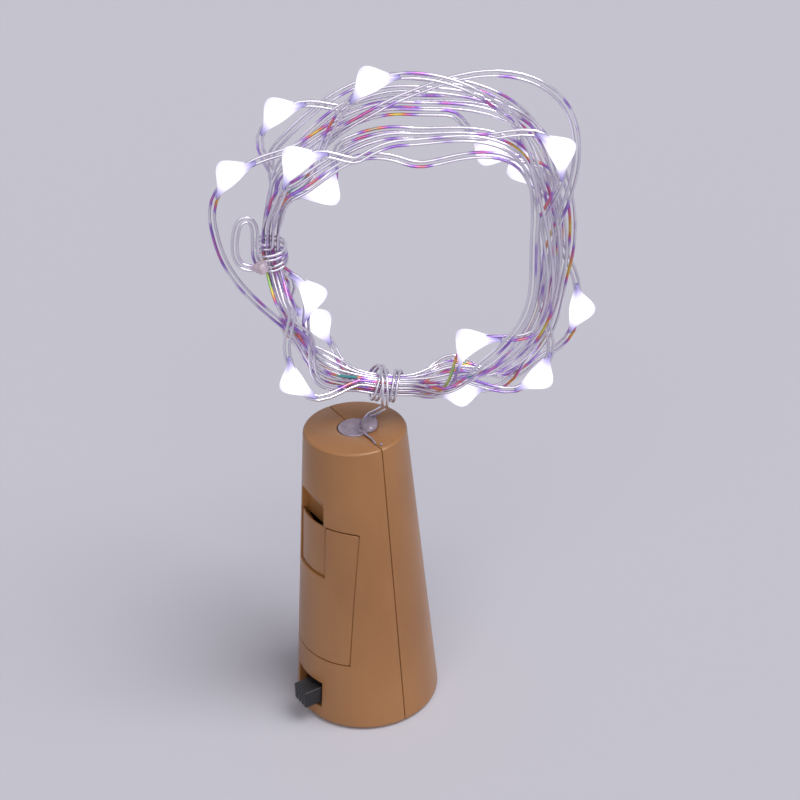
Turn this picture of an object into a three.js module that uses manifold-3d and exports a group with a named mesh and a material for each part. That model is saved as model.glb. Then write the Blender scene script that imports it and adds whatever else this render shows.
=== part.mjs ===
// A bottle light: a cork-shaped battery stopper with a string of light drops on two fine wires.
// The string is wound into a ring that stands on its own lead above the stopper.
// Millimetres, +Z up. The stopper stands on its wide end, and its battery door faces -Y.
import * as THREE from 'three';
import { mergeVertices } from 'three/addons/utils/BufferGeometryUtils.js';
import Module from 'manifold-3d';

// Clearances
const FIT = 0.2; // between pieces that move or slide in
const TOUCH = 0.1; // between pieces that rest on each other
const SEAM_GAP = 0.1; // between the two halves of the stopper

// Button cells and their contacts, stacked on the stopper's axis
const CELL_RADIUS = 5.8;
const CELL_HEIGHT = 5.4;
const CELL_COUNT = 3;
const CELL_CAP_RADIUS = 4.6;
const CELL_CAP_HEIGHT = 0.7;
const CELL_EDGE = 0.35;
const CONTACT_RADIUS = 4.6;
const CONTACT_THICK = 0.3;
const CONTACT_TAB_WIDTH = 1.4;
const SPRING_TAB_INSET = 2.4; // from the stopper's inner face to the spring plate's tab
const SPRING_HEIGHT = 3.2;
const SPRING_WIRE = 0.5;
const SPRING_TURNS = 3.5;
const SPRING_WIDE_RADIUS = 3.6;
const SPRING_NARROW_RADIUS = 2.2;

// Stopper halves
const WALL = 1.2;
const END_WALL = 1.4;
const TAPER = 0.075; // loss of radius for each millimetre of height
const LEAD_CHANNEL = 1.35; // room beside the top cell for one lead
const LOW_SHELF_Z = 9.9;
const SHELF_THICK = 1.1;
const SHELF_REACH = 5.4; // how far the shelves pass the axis towards the door
const TOP_CHAMBER = 11.7; // clear height above the upper shelf
const BASE_ROUND = 0.9;
const TOP_ROUND = 0.5;
const HOLE_RADIUS = 2.5; // wire hole in the narrow end
const KEY_WIDTH = 5; // locating key in the base, on the rear half
const KEY_LENGTH = 2.4;
const RIB_THICK = 1.2; // cradle ribs behind the cells
const STOP_THICK = 0.8; // plates behind the switch
const PEG_RADIUS = 0.65;
const PEG_LENGTH = 2.2;
const BOSS_RADIUS = 1.3;
const LOW_PEG_X = 6.2;
const LOW_PEG_Z = 8.1;
const HIGH_PEG_X = 4.5;
const HIGH_PEG_DROP = 3.1; // from the roof of the upper chamber to the upper pegs
const BITE = 0.3; // overlap of ribs and bosses with the wall that they grow from

// Battery door in the front half
const DOOR_WIDTH = 13.8;
const DOOR_SKIN = 0.6; // outer layer of the door, which lies on the ledge
const DOOR_LEDGE = 0.8;
const DOOR_BELOW_CELLS = 0.3; // door foot above the lower shelf
const DOOR_ABOVE_CELLS = 0.8; // door head above the upper shelf
const HINGE_INSET = 0.15;
const HINGE_RISE = 0.3;
const LATCH_WIDTH = 6.2;
const LATCH_LENGTH = 8;
const LATCH_SLIT = 0.25;
const LATCH_SINK = 0.25;
const LATCH_GROOVE = 0.45;
const LATCH_GROOVE_DEPTH = 0.55;
const HOOK_X = 3.8;
const HOOK_WIDTH = 2;
const HOOK_THICK = 0.8;
const HOOK_DROP = 1.1;
const HOOK_RISE = 1.3;
const NOTCH_WIDTH = 5.9; // finger notch above the door
const NOTCH_HEIGHT = 4.9;
const NOTCH_DEPTH = 1.8;
const NOTCH_FOOT = 1.5; // full depth above the door's head, and below it
const NOTCH_FLOOR = 1;

// Slide switch behind a window near the base
const SWITCH_Z = 4.65;
const SWITCH_WIDTH = 8.6;
const SWITCH_HEIGHT = 4.4;
const SWITCH_DEPTH = 3.4;
const SWITCH_SHEET = 0.4;
const SWITCH_TRAVEL = 3;
const BOARD_THICK = 0.6;
const KNOB_WIDTH = 3.2;
const KNOB_HEIGHT = 2.7;
const KNOB_PROUD = 2.2; // beyond the widest part of the stopper's face
const KNOB_ROUND = 0.35;
const CARRIAGE_HEIGHT = 3.2;
const CARRIAGE_WIDTH = 4.4;
const CARRIAGE_DEPTH = 1.2;
const WINDOW_WIDTH = 6.5;
const WINDOW_HEIGHT = 4.3;
const PIN_PITCH = 2.5;
const PIN_WIDTH = 0.8;
const PIN_THICK = 0.3;
const PIN_LENGTH = 2.6;
const WIPER_THICK = 0.3;

// Resistor and leads inside the stopper
const LEAD_RADIUS = 0.35;
const LEAD_CLEARANCE = 0.3;
const LEAD_BEND = 1.4; // straight length before a lead bends
const CHANNEL_ANGLE = 60; // of the long lead, from +X
const RESISTOR_RADIUS = 0.9;
const RESISTOR_LENGTH = 3.4;
const RESISTOR_LEAD = 0.25;
const RESISTOR_X = -2.5;
const RESISTOR_Y = 3.6;
const RESISTOR_LIFT = 2.7; // from the upper shelf to the resistor's body
const RESISTOR_ROUND = 0.2;
const RESISTOR_CAP = 0.9; // length of the thicker ends
const RESISTOR_WAIST = 0.77; // radius between them
const RESISTOR_GRIP = 0.4; // wire inside the body
const RESISTOR_BEND = 0.6; // straight length before its wire bends

// Glue in the wire hole
const GLUE_DEPTH = 2.8;
const GLUE_DISH = 0.5;
const MOUND_X = 2.05; // mound of glue over the wires, in the ring's frame
const MOUND_Y = 0.5;
const MOUND_HALF_WIDTH = 1.25;
const MOUND_HALF_LENGTH = 2.3;
const MOUND_HEIGHT = 1;
const THREAD_RADIUS = 0.25; // thread of glue along the seam
const THREAD_LENGTH = 4;

// Light string: two wires side by side, wound as a ring
const RING_TURN = 58.5; // turn of the ring's frame about the stopper's axis
const RING_X = 7.2;
const RING_Y = 1.5;
const RING_LIFT = 27.4; // ring centre above the stopper
const WIRE_RADIUS = 0.2;
const WIRE_SIDES = 4;
const PAIR_HALF = 0.34;
const PAIR_HALF_INSIDE = 0.6;
const PAIR_HALF_WRAP = 0.31;
const LAYER_PITCH = 0.92;
const OUTER_TURN_RADIUS = 23.4;
const INNER_TURN_RADIUS = 19.8;
const WANDER = 0.7; // how far a turn wanders from its circle
const TURN_STEP = 18; // degrees between sections of the wound wires
const TIE_STEP = 6; // and near the ties
const TIE_REACH = 44;
const COLUMN_PITCH = 1.25; // spacing of the turns where they are tied
const COLUMN_COUNT = 2;
const COLUMN_NEAR = 23; // degrees from a tie within which the turns lie in columns
const COLUMN_FAR = 41; // and beyond which they lie free
const ROW_PITCH = 0.56;
const ROW_NEAR = 8; // degrees from a tie within which the rows are pressed together
const WRAP_STEPS = 12;
const WRAP_HALF_RADIAL = 1.85;
const WRAP_HALF_AXIAL = 2.1;
const WRAP_ROUND = 0.8; // 1 for a round wrap, less for a boxy one
const WRAP_SLACK = 0.12; // share by which a wrap stands loose where it is slackest
const OVER_SWEEP = 230; // degrees that the lead goes round the lower tie outside its wraps
const OVER_STEPS = 8;
const OVER_SLACK = 0.5; // share by which the lead clears the wraps
const WRAP_SWEEP = 26; // degrees over which a wrap runs into the ring
const LOWER_TIE = { angle: 263, radius: 21.8, wraps: 2, pitch: 2.1, firstColumn: 0, inward: 360 };
const LEFT_TIE = {
  angle: 182, radius: 17.1, wraps: 2, pitch: 1.6, firstColumn: 0, inward: -360, loosePass: 4,
};
// Where one turn stands away from the rest: angle along the wind, distance, degrees to each side
const LOOSE_TURNS = [
  [1612, 1.6, 45],
  [2206, 6.8, 60],
  [2966, 6.3, 58],
  [3675, -2.6, 45],
];
// Where all turns stand off the circle: angle, distance, how far they fan out, degrees to each side
const RING_SHAPE = [
  [5, -1.4, 1.5, 42],
  [85, -3.6, 2, 50],
  [132, -4.4, 2, 46],
  [222, -1.8, 2, 60],
  [306, 2.2, 5, 38],
];
const FULL_TURNS = 11; // full circles from the lower tie round to the left tie's own angle
const LEAD_POINTS = [ // from inside the stopper up to the lower tie: across, back, above the stopper
  [1.1, 1.0, -4.8],
  [1.1, 1.0, -3.2],
  [1.15, 1.05, -1.6],
  [1.25, 1.1, -0.3],
  [1.75, 1.2, 0.5],
  [2.3, 1.1, 1.2],
  [2.85, 0.5, 1.85],
  [3.4, -0.1, 2.5],
  [3.9, -0.5, 3.05],
];
const TAIL_POINTS = [ // past the left tie: degrees, radial and axial distance from the tie's middle
  [3, 1.2, 2.8],
  [-2, 1.8, 3.0],
  [-9, 1.9, 3.1],
  [-14, 2.1, 3.2],
  [-17, 2.6, 3.3],
  [-17.9, 3.3, 3.4],
  [-17, 4.0, 3.5],
  [-14, 4.4, 3.6],
  [-8, 4.5, 3.7],
  [-3.2, 4.3, 3.8],
  [-0.4, 3.7, 3.9],
  [0.7, 2.9, 4.0],
  [0.9, 2.3, 4.0],
];
const BEAD_ANGLES = [331, 229, 131, 28, 288, 156, 46, 311, 210, 138, 97, 33, 303, 231, 132];
const BEADS_INSIDE_RING = [1, 3, 6, 8, 9, 12]; // drops that bulge towards the ring's middle
const BEAD_LENGTH = 5.6;
const BEAD_RADIUS = 1.75;
const BEAD_OFFSET = 0.75; // of the drop's middle from its wires
const BEAD_END_RADIUS = 0.66;
const BEAD_END_WALL = 0.12; // beside the wires at its ends
const BEAD_SIDES = 7;
const BEAD_STATIONS = [-1, -0.6, 0, 0.6, 1];
const BEAD_FLAT = 4; // degrees to each side of a drop's middle that stay level
const BEAD_BULGE = 24; // degrees to each side over which the wires swing out to a drop
const BORE_CLEARANCE = 0.25;
const BEAD_CLEARANCE = 0.75; // from a drop to the turns beside it
const END_DROP_RADIUS = 0.95;

const ROUND_SEGMENTS = 48;
const SMALL_SEGMENTS = 16;
const FAR = 60; // larger than the stopper, for cutting blocks

// Levels and radii that follow from the sizes above
const lowShelfTop = LOW_SHELF_Z + SHELF_THICK;
const springPlateZ = lowShelfTop + TOUCH;
const springZ = springPlateZ + CONTACT_THICK + TOUCH;
const cellsZ = springZ + SPRING_HEIGHT + TOUCH;
const cellsTop = cellsZ + CELL_COUNT * (CELL_HEIGHT + TOUCH) - TOUCH;
const roofPlateZ = cellsTop + TOUCH;
const highShelfZ = roofPlateZ + CONTACT_THICK + TOUCH;
const highShelfTop = highShelfZ + SHELF_THICK;
const corkHeight = highShelfTop + TOP_CHAMBER + END_WALL;
const doorBottom = lowShelfTop + DOOR_BELOW_CELLS;
const doorTop = highShelfTop + DOOR_ABOVE_CELLS;
const hingeZ = doorBottom + HINGE_RISE;
const hingeY = HINGE_INSET - radiusAt(hingeZ);
const doorReach = Math.hypot(doorTop - hingeZ, hingeY + radiusAt(doorTop));
const switchTop = SWITCH_Z + SWITCH_HEIGHT / 2;
const switchFront = Math.sqrt(innerRadiusAt(switchTop) ** 2 - (SWITCH_WIDTH / 2) ** 2) - 2 * FIT;
const switchBack = switchFront - SWITCH_DEPTH;
const switchBottom = SWITCH_Z - SWITCH_HEIGHT / 2;
const knobX = SWITCH_TRAVEL / 2;
const ringZ = corkHeight + RING_LIFT;
const windStart = LOWER_TIE.angle;
const windEnd = LEFT_TIE.angle + 360 * FULL_TURNS;
const turnCount = (windEnd - windStart) / 360;
const squeeze = ROW_PITCH / COLUMN_COUNT / LAYER_PITCH;

function radiusAt(z) {
  return CELL_RADIUS + LEAD_CHANNEL + WALL + (cellsTop - z) * TAPER;
}

function innerRadiusAt(z) {
  return radiusAt(z) - WALL;
}

// Solids: closed meshes that can be joined and cut
const wasm = await Module();
wasm.setup();

function bareMesh(geometry) {
  const bare = geometry.index ? geometry.toNonIndexed() : geometry.clone();
  for (const name of Object.keys(bare.attributes)) {
    if (name !== 'position') bare.deleteAttribute(name);
  }
  const merged = mergeVertices(bare, 1e-4);
  const points = merged.attributes.position.array;
  const faces = [];
  let volume = 0;
  for (let i = 0; i < merged.index.count; i += 3) {
    const [a, b, c] = merged.index.array.subarray(i, i + 3);
    if (a === b || b === c || c === a) continue;
    faces.push([a, b, c]);
    const [p, q, r] = [a, b, c].map((n) => new THREE.Vector3().fromArray(points, 3 * n));
    volume += p.dot(q.cross(r));
  }
  const outward = volume > 0 ? faces : faces.map(([a, b, c]) => [a, c, b]);
  return { points, faces: Uint32Array.from(outward.flat()) };
}

function solid(geometry) {
  const { points, faces } = bareMesh(geometry);
  return new wasm.Manifold(new wasm.Mesh({ numProp: 3, vertProperties: points, triVerts: faces }));
}

function geometryOf(manifold) {
  const mesh = manifold.getMesh();
  const geometry = new THREE.BufferGeometry();
  geometry.setAttribute('position', new THREE.BufferAttribute(mesh.vertProperties, 3));
  geometry.setIndex(new THREE.BufferAttribute(mesh.triVerts, 1));
  geometry.computeVertexNormals();
  return geometry;
}

function joined(...solids) {
  return solids.reduce((whole, next) => whole.add(next));
}

function box(x0, x1, y0, y1, z0, z1) {
  const geometry = new THREE.BoxGeometry(x1 - x0, y1 - y0, z1 - z0);
  geometry.translate((x0 + x1) / 2, (y0 + y1) / 2, (z0 + z1) / 2);
  return solid(geometry);
}

function turned(profile, segments = ROUND_SEGMENTS) {
  const points = profile.map(([radius, z]) => new THREE.Vector2(radius, z));
  return solid(new THREE.LatheGeometry(points, segments).rotateX(Math.PI / 2));
}

function disc(radius, z0, z1, segments = ROUND_SEGMENTS) {
  return turned([[0, z0], [radius, z0], [radius, z1], [0, z1]], segments);
}

// A round bar along Y
function peg(radius, x, z, y0, y1) {
  const geometry = new THREE.CylinderGeometry(radius, radius, y1 - y0, SMALL_SEGMENTS);
  return solid(geometry.translate(x, (y0 + y1) / 2, z));
}

// A shape drawn as (y, z) and given a width along X, centred
function sideProfile(shape, width) {
  const geometry = new THREE.ExtrudeGeometry(shape, { depth: width, bevelEnabled: false, curveSegments: 24 });
  geometry.translate(0, 0, -width / 2);
  const axes = [new THREE.Vector3(0, 1, 0), new THREE.Vector3(0, 0, 1), new THREE.Vector3(1, 0, 0)];
  return solid(geometry.applyMatrix4(new THREE.Matrix4().makeBasis(...axes)));
}

// A closed tube through points, with its end faces square to the path
function tubeGeometry(points, radius, sides) {
  const tangents = points.map((point, i) => {
    const before = points[Math.max(i - 1, 0)];
    const after = points[Math.min(i + 1, points.length - 1)];
    return after.clone().sub(before).normalize();
  });
  const positions = [];
  const index = [];
  let normal = new THREE.Vector3(0.31, 0.47, 0.83).cross(tangents[0]).normalize();
  points.forEach((point, i) => {
    normal = normal.clone().addScaledVector(tangents[i], -normal.dot(tangents[i])).normalize();
    const side = tangents[i].clone().cross(normal);
    for (let j = 0; j < sides; j += 1) {
      const angle = (2 * Math.PI * j) / sides;
      const corner = point.clone().addScaledVector(normal, radius * Math.cos(angle));
      positions.push(...corner.addScaledVector(side, radius * Math.sin(angle)).toArray());
    }
  });
  for (let i = 0; i + 1 < points.length; i += 1) {
    for (let j = 0; j < sides; j += 1) {
      const next = (j + 1) % sides;
      const [a, b] = [i * sides + j, i * sides + next];
      index.push(a, b, b + sides, a, b + sides, a + sides);
    }
  }
  const last = (points.length - 1) * sides;
  for (let j = 1; j + 1 < sides; j += 1) {
    index.push(0, j + 1, j, last, last + j, last + j + 1);
  }
  const geometry = new THREE.BufferGeometry();
  geometry.setAttribute('position', new THREE.Float32BufferAttribute(positions, 3));
  geometry.setIndex(index);
  return geometry;
}

function smoothPoints(points, count) {
  return new THREE.CatmullRomCurve3(points.map((p) => new THREE.Vector3(...p))).getPoints(count);
}

function tube(points, radius, sides = 8) {
  return solid(tubeGeometry(points, radius, sides));
}

// Materials
function finish(color, roughness, metalness = 0) {
  return new THREE.MeshStandardMaterial({ color, roughness, metalness });
}

const TAN_ABS = finish(0x9a6a3c, 0.5);
const BLACK_NYLON = finish(0x141416, 0.55);
const NICKEL = finish(0xb9b7b0, 0.3, 1);
const CELL_STEEL = finish(0xc4c6c8, 0.25, 1);
const PHENOLIC = finish(0x6b3f22, 0.7);
const BRASS = finish(0xb08d45, 0.35, 1);
const RED_PVC = finish(0xa8231c, 0.5);
const BLACK_PVC = finish(0x18181a, 0.5);
const RESISTOR_PAINT = finish(0xc9ad7f, 0.6);
const HOT_GLUE = finish(0xb9aabf, 0.25);
const SILVERED_COPPER = finish(0xcfc8d6, 0.25, 1);
const LED_EPOXY = finish(0xf6f4ff, 0.2);

const part = new THREE.Group();
const stringFrame = new THREE.Group();
stringFrame.rotation.z = THREE.MathUtils.degToRad(RING_TURN);
part.add(stringFrame);

function place(name, geometry, material, group = part) {
  const mesh = new THREE.Mesh(geometry, material);
  mesh.name = name;
  group.add(mesh);
}

function placeSolid(name, manifold, material, group = part) {
  place(name, geometryOf(manifold), material, group);
}

// The ring's frame seen from the stopper's own
function toPart([x, y, z]) {
  return new THREE.Vector3(x, y, z).applyAxisAngle(new THREE.Vector3(0, 0, 1), stringFrame.rotation.z);
}

// Light string route. The ring's frame has +X across, +Y to the back and +Z up; radial is from the
// ring's middle outwards, and axial is from the ring's plane to the front.
function ringPoint(angle, radial, axial) {
  const a = THREE.MathUtils.degToRad(angle);
  return new THREE.Vector3(RING_X + radial * Math.cos(a), RING_Y - axial, ringZ + radial * Math.sin(a));
}

function angleFrom(angle, middle) {
  return THREE.MathUtils.euclideanModulo(angle - middle + 180, 360) - 180;
}

// One near a tie and nothing far from it
function tieShare(angle, tie, near, far) {
  if (Math.round((angle - tie.angle) / 360) === tie.loosePass) return 0;
  return 1 - THREE.MathUtils.smoothstep(Math.abs(angleFrom(angle, tie.angle)), near, far);
}

function tieColumn(angle, tie) {
  const pass = Math.round((angle - tie.angle) / 360);
  const column = THREE.MathUtils.euclideanModulo(pass + tie.firstColumn, COLUMN_COUNT);
  return tie.radius + (column - (COLUMN_COUNT - 1) / 2) * COLUMN_PITCH;
}

// One at the middle of a swing, easing to nothing at its reach
function swing(share) {
  return (1 + Math.cos(Math.PI * Math.min(share, 1))) / 2;
}

// Distance of the wound pair from the ring's middle, before it swings out to its drops
function turnRadius(angle) {
  const share = (angle - windStart) / (windEnd - windStart);
  const a = THREE.MathUtils.degToRad(angle);
  const wander = WANDER * (Math.sin(1.618 * a + 0.7) + 0.7 * Math.sin(2.414 * a + 2.1));
  let radius = THREE.MathUtils.lerp(OUTER_TURN_RADIUS, INNER_TURN_RADIUS, share) + wander;
  for (const [middle, distance, reach] of LOOSE_TURNS) {
    radius += distance * swing(Math.abs(angle - middle) / reach);
  }
  for (const [middle, distance, fan, reach] of RING_SHAPE) {
    const off = distance + fan * (0.5 - share);
    radius += off * swing(Math.abs(angleFrom(angle, middle)) / reach);
  }
  for (const tie of [LOWER_TIE, LEFT_TIE]) {
    const held = tieShare(angle, tie, COLUMN_NEAR, COLUMN_FAR);
    radius = THREE.MathUtils.lerp(radius, tieColumn(angle, tie), held);
  }
  return radius;
}

function turnLevel(angle) {
  const share = (angle - windStart) / (windEnd - windStart);
  let level = (share - 0.5) * turnCount * LAYER_PITCH;
  for (const tie of [LOWER_TIE, LEFT_TIE]) {
    level *= THREE.MathUtils.lerp(1, squeeze, tieShare(angle, tie, ROW_NEAR, COLUMN_NEAR));
  }
  return level;
}

// Each drop clears the turns beside it by its own depth
const beads = [];
for (const [i, angle] of BEAD_ANGLES.entries()) {
  const before = i ? beads[i - 1].angle + 1 : windStart;
  const wound = angle + 360 * Math.ceil((before - angle) / 360);
  const outward = BEADS_INSIDE_RING.includes(i) ? -1 : 1;
  const clear = BEAD_RADIUS - BEAD_OFFSET + PAIR_HALF + WIRE_RADIUS + BEAD_CLEARANCE;
  let lift = 0;
  for (const turn of [-2, -1, 1, 2]) {
    for (const aside of [-9, 0, 9]) {
      const beside = wound + 360 * turn + aside;
      if (beside < windStart || beside > windEnd) continue;
      lift = Math.max(lift, outward * (turnRadius(beside) - turnRadius(wound + aside)) + clear);
    }
  }
  beads.push({ angle: wound, outward, lift });
}

function pairRadius(angle) {
  let radius = turnRadius(angle);
  for (const bead of beads) {
    const past = Math.max(Math.abs(angle - bead.angle) - BEAD_FLAT, 0);
    radius += bead.outward * bead.lift * swing(past / (BEAD_BULGE - BEAD_FLAT));
  }
  return radius;
}

function pairPoint(angle) {
  return ringPoint(angle, pairRadius(angle), turnLevel(angle));
}

// A wrap goes round the tied turns on a rounded box, and is slackest between the tie's middle and ends
function wrapSide(value, half) {
  return half * Math.sign(value) * Math.abs(value) ** WRAP_ROUND;
}

function wrapRadial(around) {
  return wrapSide(Math.cos(THREE.MathUtils.degToRad(around)), WRAP_HALF_RADIAL);
}

function wrapSlack(share) {
  return 1 + WRAP_SLACK * Math.sin(2 * Math.PI * share) ** 2;
}

function wrapPoint(angle, tie, around, slack) {
  const axial = wrapSide(Math.sin(THREE.MathUtils.degToRad(around)), WRAP_HALF_AXIAL);
  return ringPoint(angle, tie.radius + slack * wrapRadial(around), slack * axial);
}

// Between a wrap and the ring the pair stays outside both
function runPoint(angle, tie, around, blend) {
  const next = turnLevel(angle + tie.inward);
  const radial = THREE.MathUtils.lerp(tie.radius + wrapRadial(around), pairRadius(angle), blend);
  const clear = Math.max(WRAP_HALF_AXIAL, Math.abs(next) + LAYER_PITCH + TOUCH);
  return ringPoint(angle, radial, Math.sign(next) * clear);
}

function wrapNormal(angle, around) {
  const a = THREE.MathUtils.degToRad(angle);
  const turn = THREE.MathUtils.degToRad(around);
  const radial = new THREE.Vector3(Math.cos(a), 0, Math.sin(a)).multiplyScalar(Math.cos(turn));
  return radial.addScaledVector(new THREE.Vector3(0, -1, 0), Math.sin(turn));
}

const BACK = new THREE.Vector3(0, 1, 0);
const FORWARD = new THREE.Vector3(0, -1, 0);
const route = []; // the pair's middle line: its point and the side that the pair lies flat against

function addPoint(point, normal = FORWARD, half = PAIR_HALF) {
  route.push({ point, normal, half });
}

function wrapDegrees(tie) {
  return THREE.MathUtils.radToDeg((tie.wraps * tie.pitch) / tie.radius);
}

// Lead from the stopper to the front of the lower tie
LEAD_POINTS.forEach(([x, y, above], i) => {
  const half = THREE.MathUtils.lerp(PAIR_HALF_INSIDE, PAIR_HALF, Math.min(i / 4, 1));
  addPoint(new THREE.Vector3(x, y, corkHeight + above), BACK, half);
});

// Up the front and over the top of the lower tie to the back of its first wrap
const lowerHalf = wrapDegrees(LOWER_TIE) / 2;
for (let i = 0; i < OVER_STEPS; i += 1) {
  const share = i / OVER_STEPS;
  const angle = LOWER_TIE.angle - lowerHalf * share ** 2;
  const around = -90 - OVER_SWEEP * (1 - share);
  const slack = 1 + OVER_SLACK * (1 - share ** 3);
  addPoint(wrapPoint(angle, LOWER_TIE, around, slack), wrapNormal(angle, around).negate(), PAIR_HALF_WRAP);
}

// Wraps round the lower tie, underneath to the front and back over the top
for (let i = 0; i <= LOWER_TIE.wraps * WRAP_STEPS; i += 1) {
  const share = i / (LOWER_TIE.wraps * WRAP_STEPS);
  const angle = LOWER_TIE.angle + (2 * share - 1) * lowerHalf;
  const around = -90 + 360 * LOWER_TIE.wraps * share;
  const point = wrapPoint(angle, LOWER_TIE, around, wrapSlack(share));
  addPoint(point, wrapNormal(angle, around).negate(), PAIR_HALF_WRAP);
}

// From the last wrap into the first turn of the ring
const RUN_STEPS = 12;
const ringStart = windStart + lowerHalf + WRAP_SWEEP;
for (let i = 1; i < RUN_STEPS; i += 1) {
  const share = i / RUN_STEPS;
  const angle = windStart + lowerHalf + WRAP_SWEEP * share ** 1.4;
  const around = -90 + 40 * (1 - (1 - share) ** 2);
  const blend = THREE.MathUtils.smoothstep(share, 0, 1);
  addPoint(runPoint(angle, LOWER_TIE, around, blend));
}

// Turns of the ring, with closer sections at the drops
const leftHalf = wrapDegrees(LEFT_TIE) / 2;
const ringEnd = windEnd - leftHalf - WRAP_SWEEP;
const sections = [];
let nextAngle = ringStart;
while (nextAngle < ringEnd) {
  const angle = nextAngle;
  const free = beads.every((bead) => Math.abs(angle - bead.angle) > BEAD_BULGE);
  if (free) sections.push(angle);
  const tied = [LOWER_TIE, LEFT_TIE].some((tie) => Math.abs(angleFrom(angle, tie.angle)) < TIE_REACH);
  nextAngle += tied ? TIE_STEP : TURN_STEP;
}
for (const bead of beads) {
  bead.half = THREE.MathUtils.radToDeg(BEAD_LENGTH / 2 / pairRadius(bead.angle));
  const aside = (BEAD_BULGE + bead.half) / 2;
  sections.push(bead.angle - BEAD_BULGE, bead.angle - aside, bead.angle + aside, bead.angle + BEAD_BULGE);
  sections.push(...BEAD_STATIONS.map((station) => bead.angle + station * bead.half));
}
sections.sort((a, b) => a - b);
for (const angle of sections.filter((value) => value >= ringStart && value <= ringEnd)) {
  addPoint(pairPoint(angle));
}

// From the last turn into the wraps of the left tie
for (let i = 1; i < RUN_STEPS; i += 1) {
  const share = i / RUN_STEPS;
  const angle = ringEnd + WRAP_SWEEP * (1 - (1 - share) ** 1.4);
  const around = 90 + 40 * (1 - share) ** 2;
  const blend = 1 - THREE.MathUtils.smoothstep(share, 0, 1);
  addPoint(runPoint(angle, LEFT_TIE, around, blend));
}
for (let i = 0; i <= LEFT_TIE.wraps * WRAP_STEPS; i += 1) {
  const share = i / (LEFT_TIE.wraps * WRAP_STEPS);
  const angle = windEnd + (2 * share - 1) * leftHalf;
  const around = 90 - 360 * LEFT_TIE.wraps * share;
  const point = wrapPoint(angle, LEFT_TIE, around, wrapSlack(share));
  addPoint(point, wrapNormal(angle, around), PAIR_HALF_WRAP);
}
for (const [aside, radial, axial] of TAIL_POINTS) {
  addPoint(ringPoint(windEnd + aside, LEFT_TIE.radius + radial, axial));
}

// Directions along the route, and the two wires on both sides of it
route.forEach((step, i) => {
  const before = route[Math.max(i - 1, 0)].point;
  const after = route[Math.min(i + 1, route.length - 1)].point;
  step.along = after.clone().sub(before).normalize();
  step.across = step.normal.clone().cross(step.along).normalize();
});
const negativePoints = route.map(({ point, across, half }) => point.clone().addScaledVector(across, half));
const positivePoints = route.map(({ point, across, half }) => point.clone().addScaledVector(across, -half));

function finePoints(points, spacing) {
  const fine = [];
  let travelled = 0;
  for (let i = 0; i + 1 < points.length; i += 1) {
    const length = points[i].distanceTo(points[i + 1]);
    const count = Math.ceil(length / spacing);
    for (let j = 0; j < count; j += 1) {
      const point = points[i].clone().lerp(points[i + 1], j / count);
      fine.push({ point, at: travelled + (length * j) / count });
    }
    travelled += length;
  }
  return { fine, length: travelled };
}

// Least free distance between two wires, or between stretches of one wire that lie apart on it
const STRETCHES_APART = 5;
const SAMPLE_SPACING = 0.6;
function leastGap(first, second) {
  let least = Infinity;
  let place = '';
  for (const a of first) {
    for (const b of second) {
      if (first === second && Math.abs(a.at - b.at) < STRETCHES_APART) continue;
      const distance = a.point.distanceToSquared(b.point);
      if (distance >= least) continue;
      least = distance;
      place = `${a.at.toFixed(0)} and ${b.at.toFixed(0)}`;
    }
  }
  return `${(Math.sqrt(least) - 2 * WIRE_RADIUS).toFixed(2)} mm at ${place} mm along`;
}

const negativeFine = finePoints(negativePoints, SAMPLE_SPACING);
const positiveFine = finePoints(positivePoints, SAMPLE_SPACING);
for (const [name, wire] of [['negative', negativeFine], ['positive', positiveFine]]) {
  const length = wire.length.toFixed(0);
  console.log(`${name} wire: ${length} mm long, least gap to itself`, leastGap(wire.fine, wire.fine));
}
console.log('least gap between the wires', leastGap(negativeFine.fine, positiveFine.fine));

const negativeWire = tubeGeometry(negativePoints, WIRE_RADIUS, WIRE_SIDES);
const positiveWire = tubeGeometry(positivePoints, WIRE_RADIUS, WIRE_SIDES);
place('string_wire_negative', negativeWire, SILVERED_COPPER, stringFrame);
place('string_wire_positive', positiveWire, SILVERED_COPPER, stringFrame);

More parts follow.
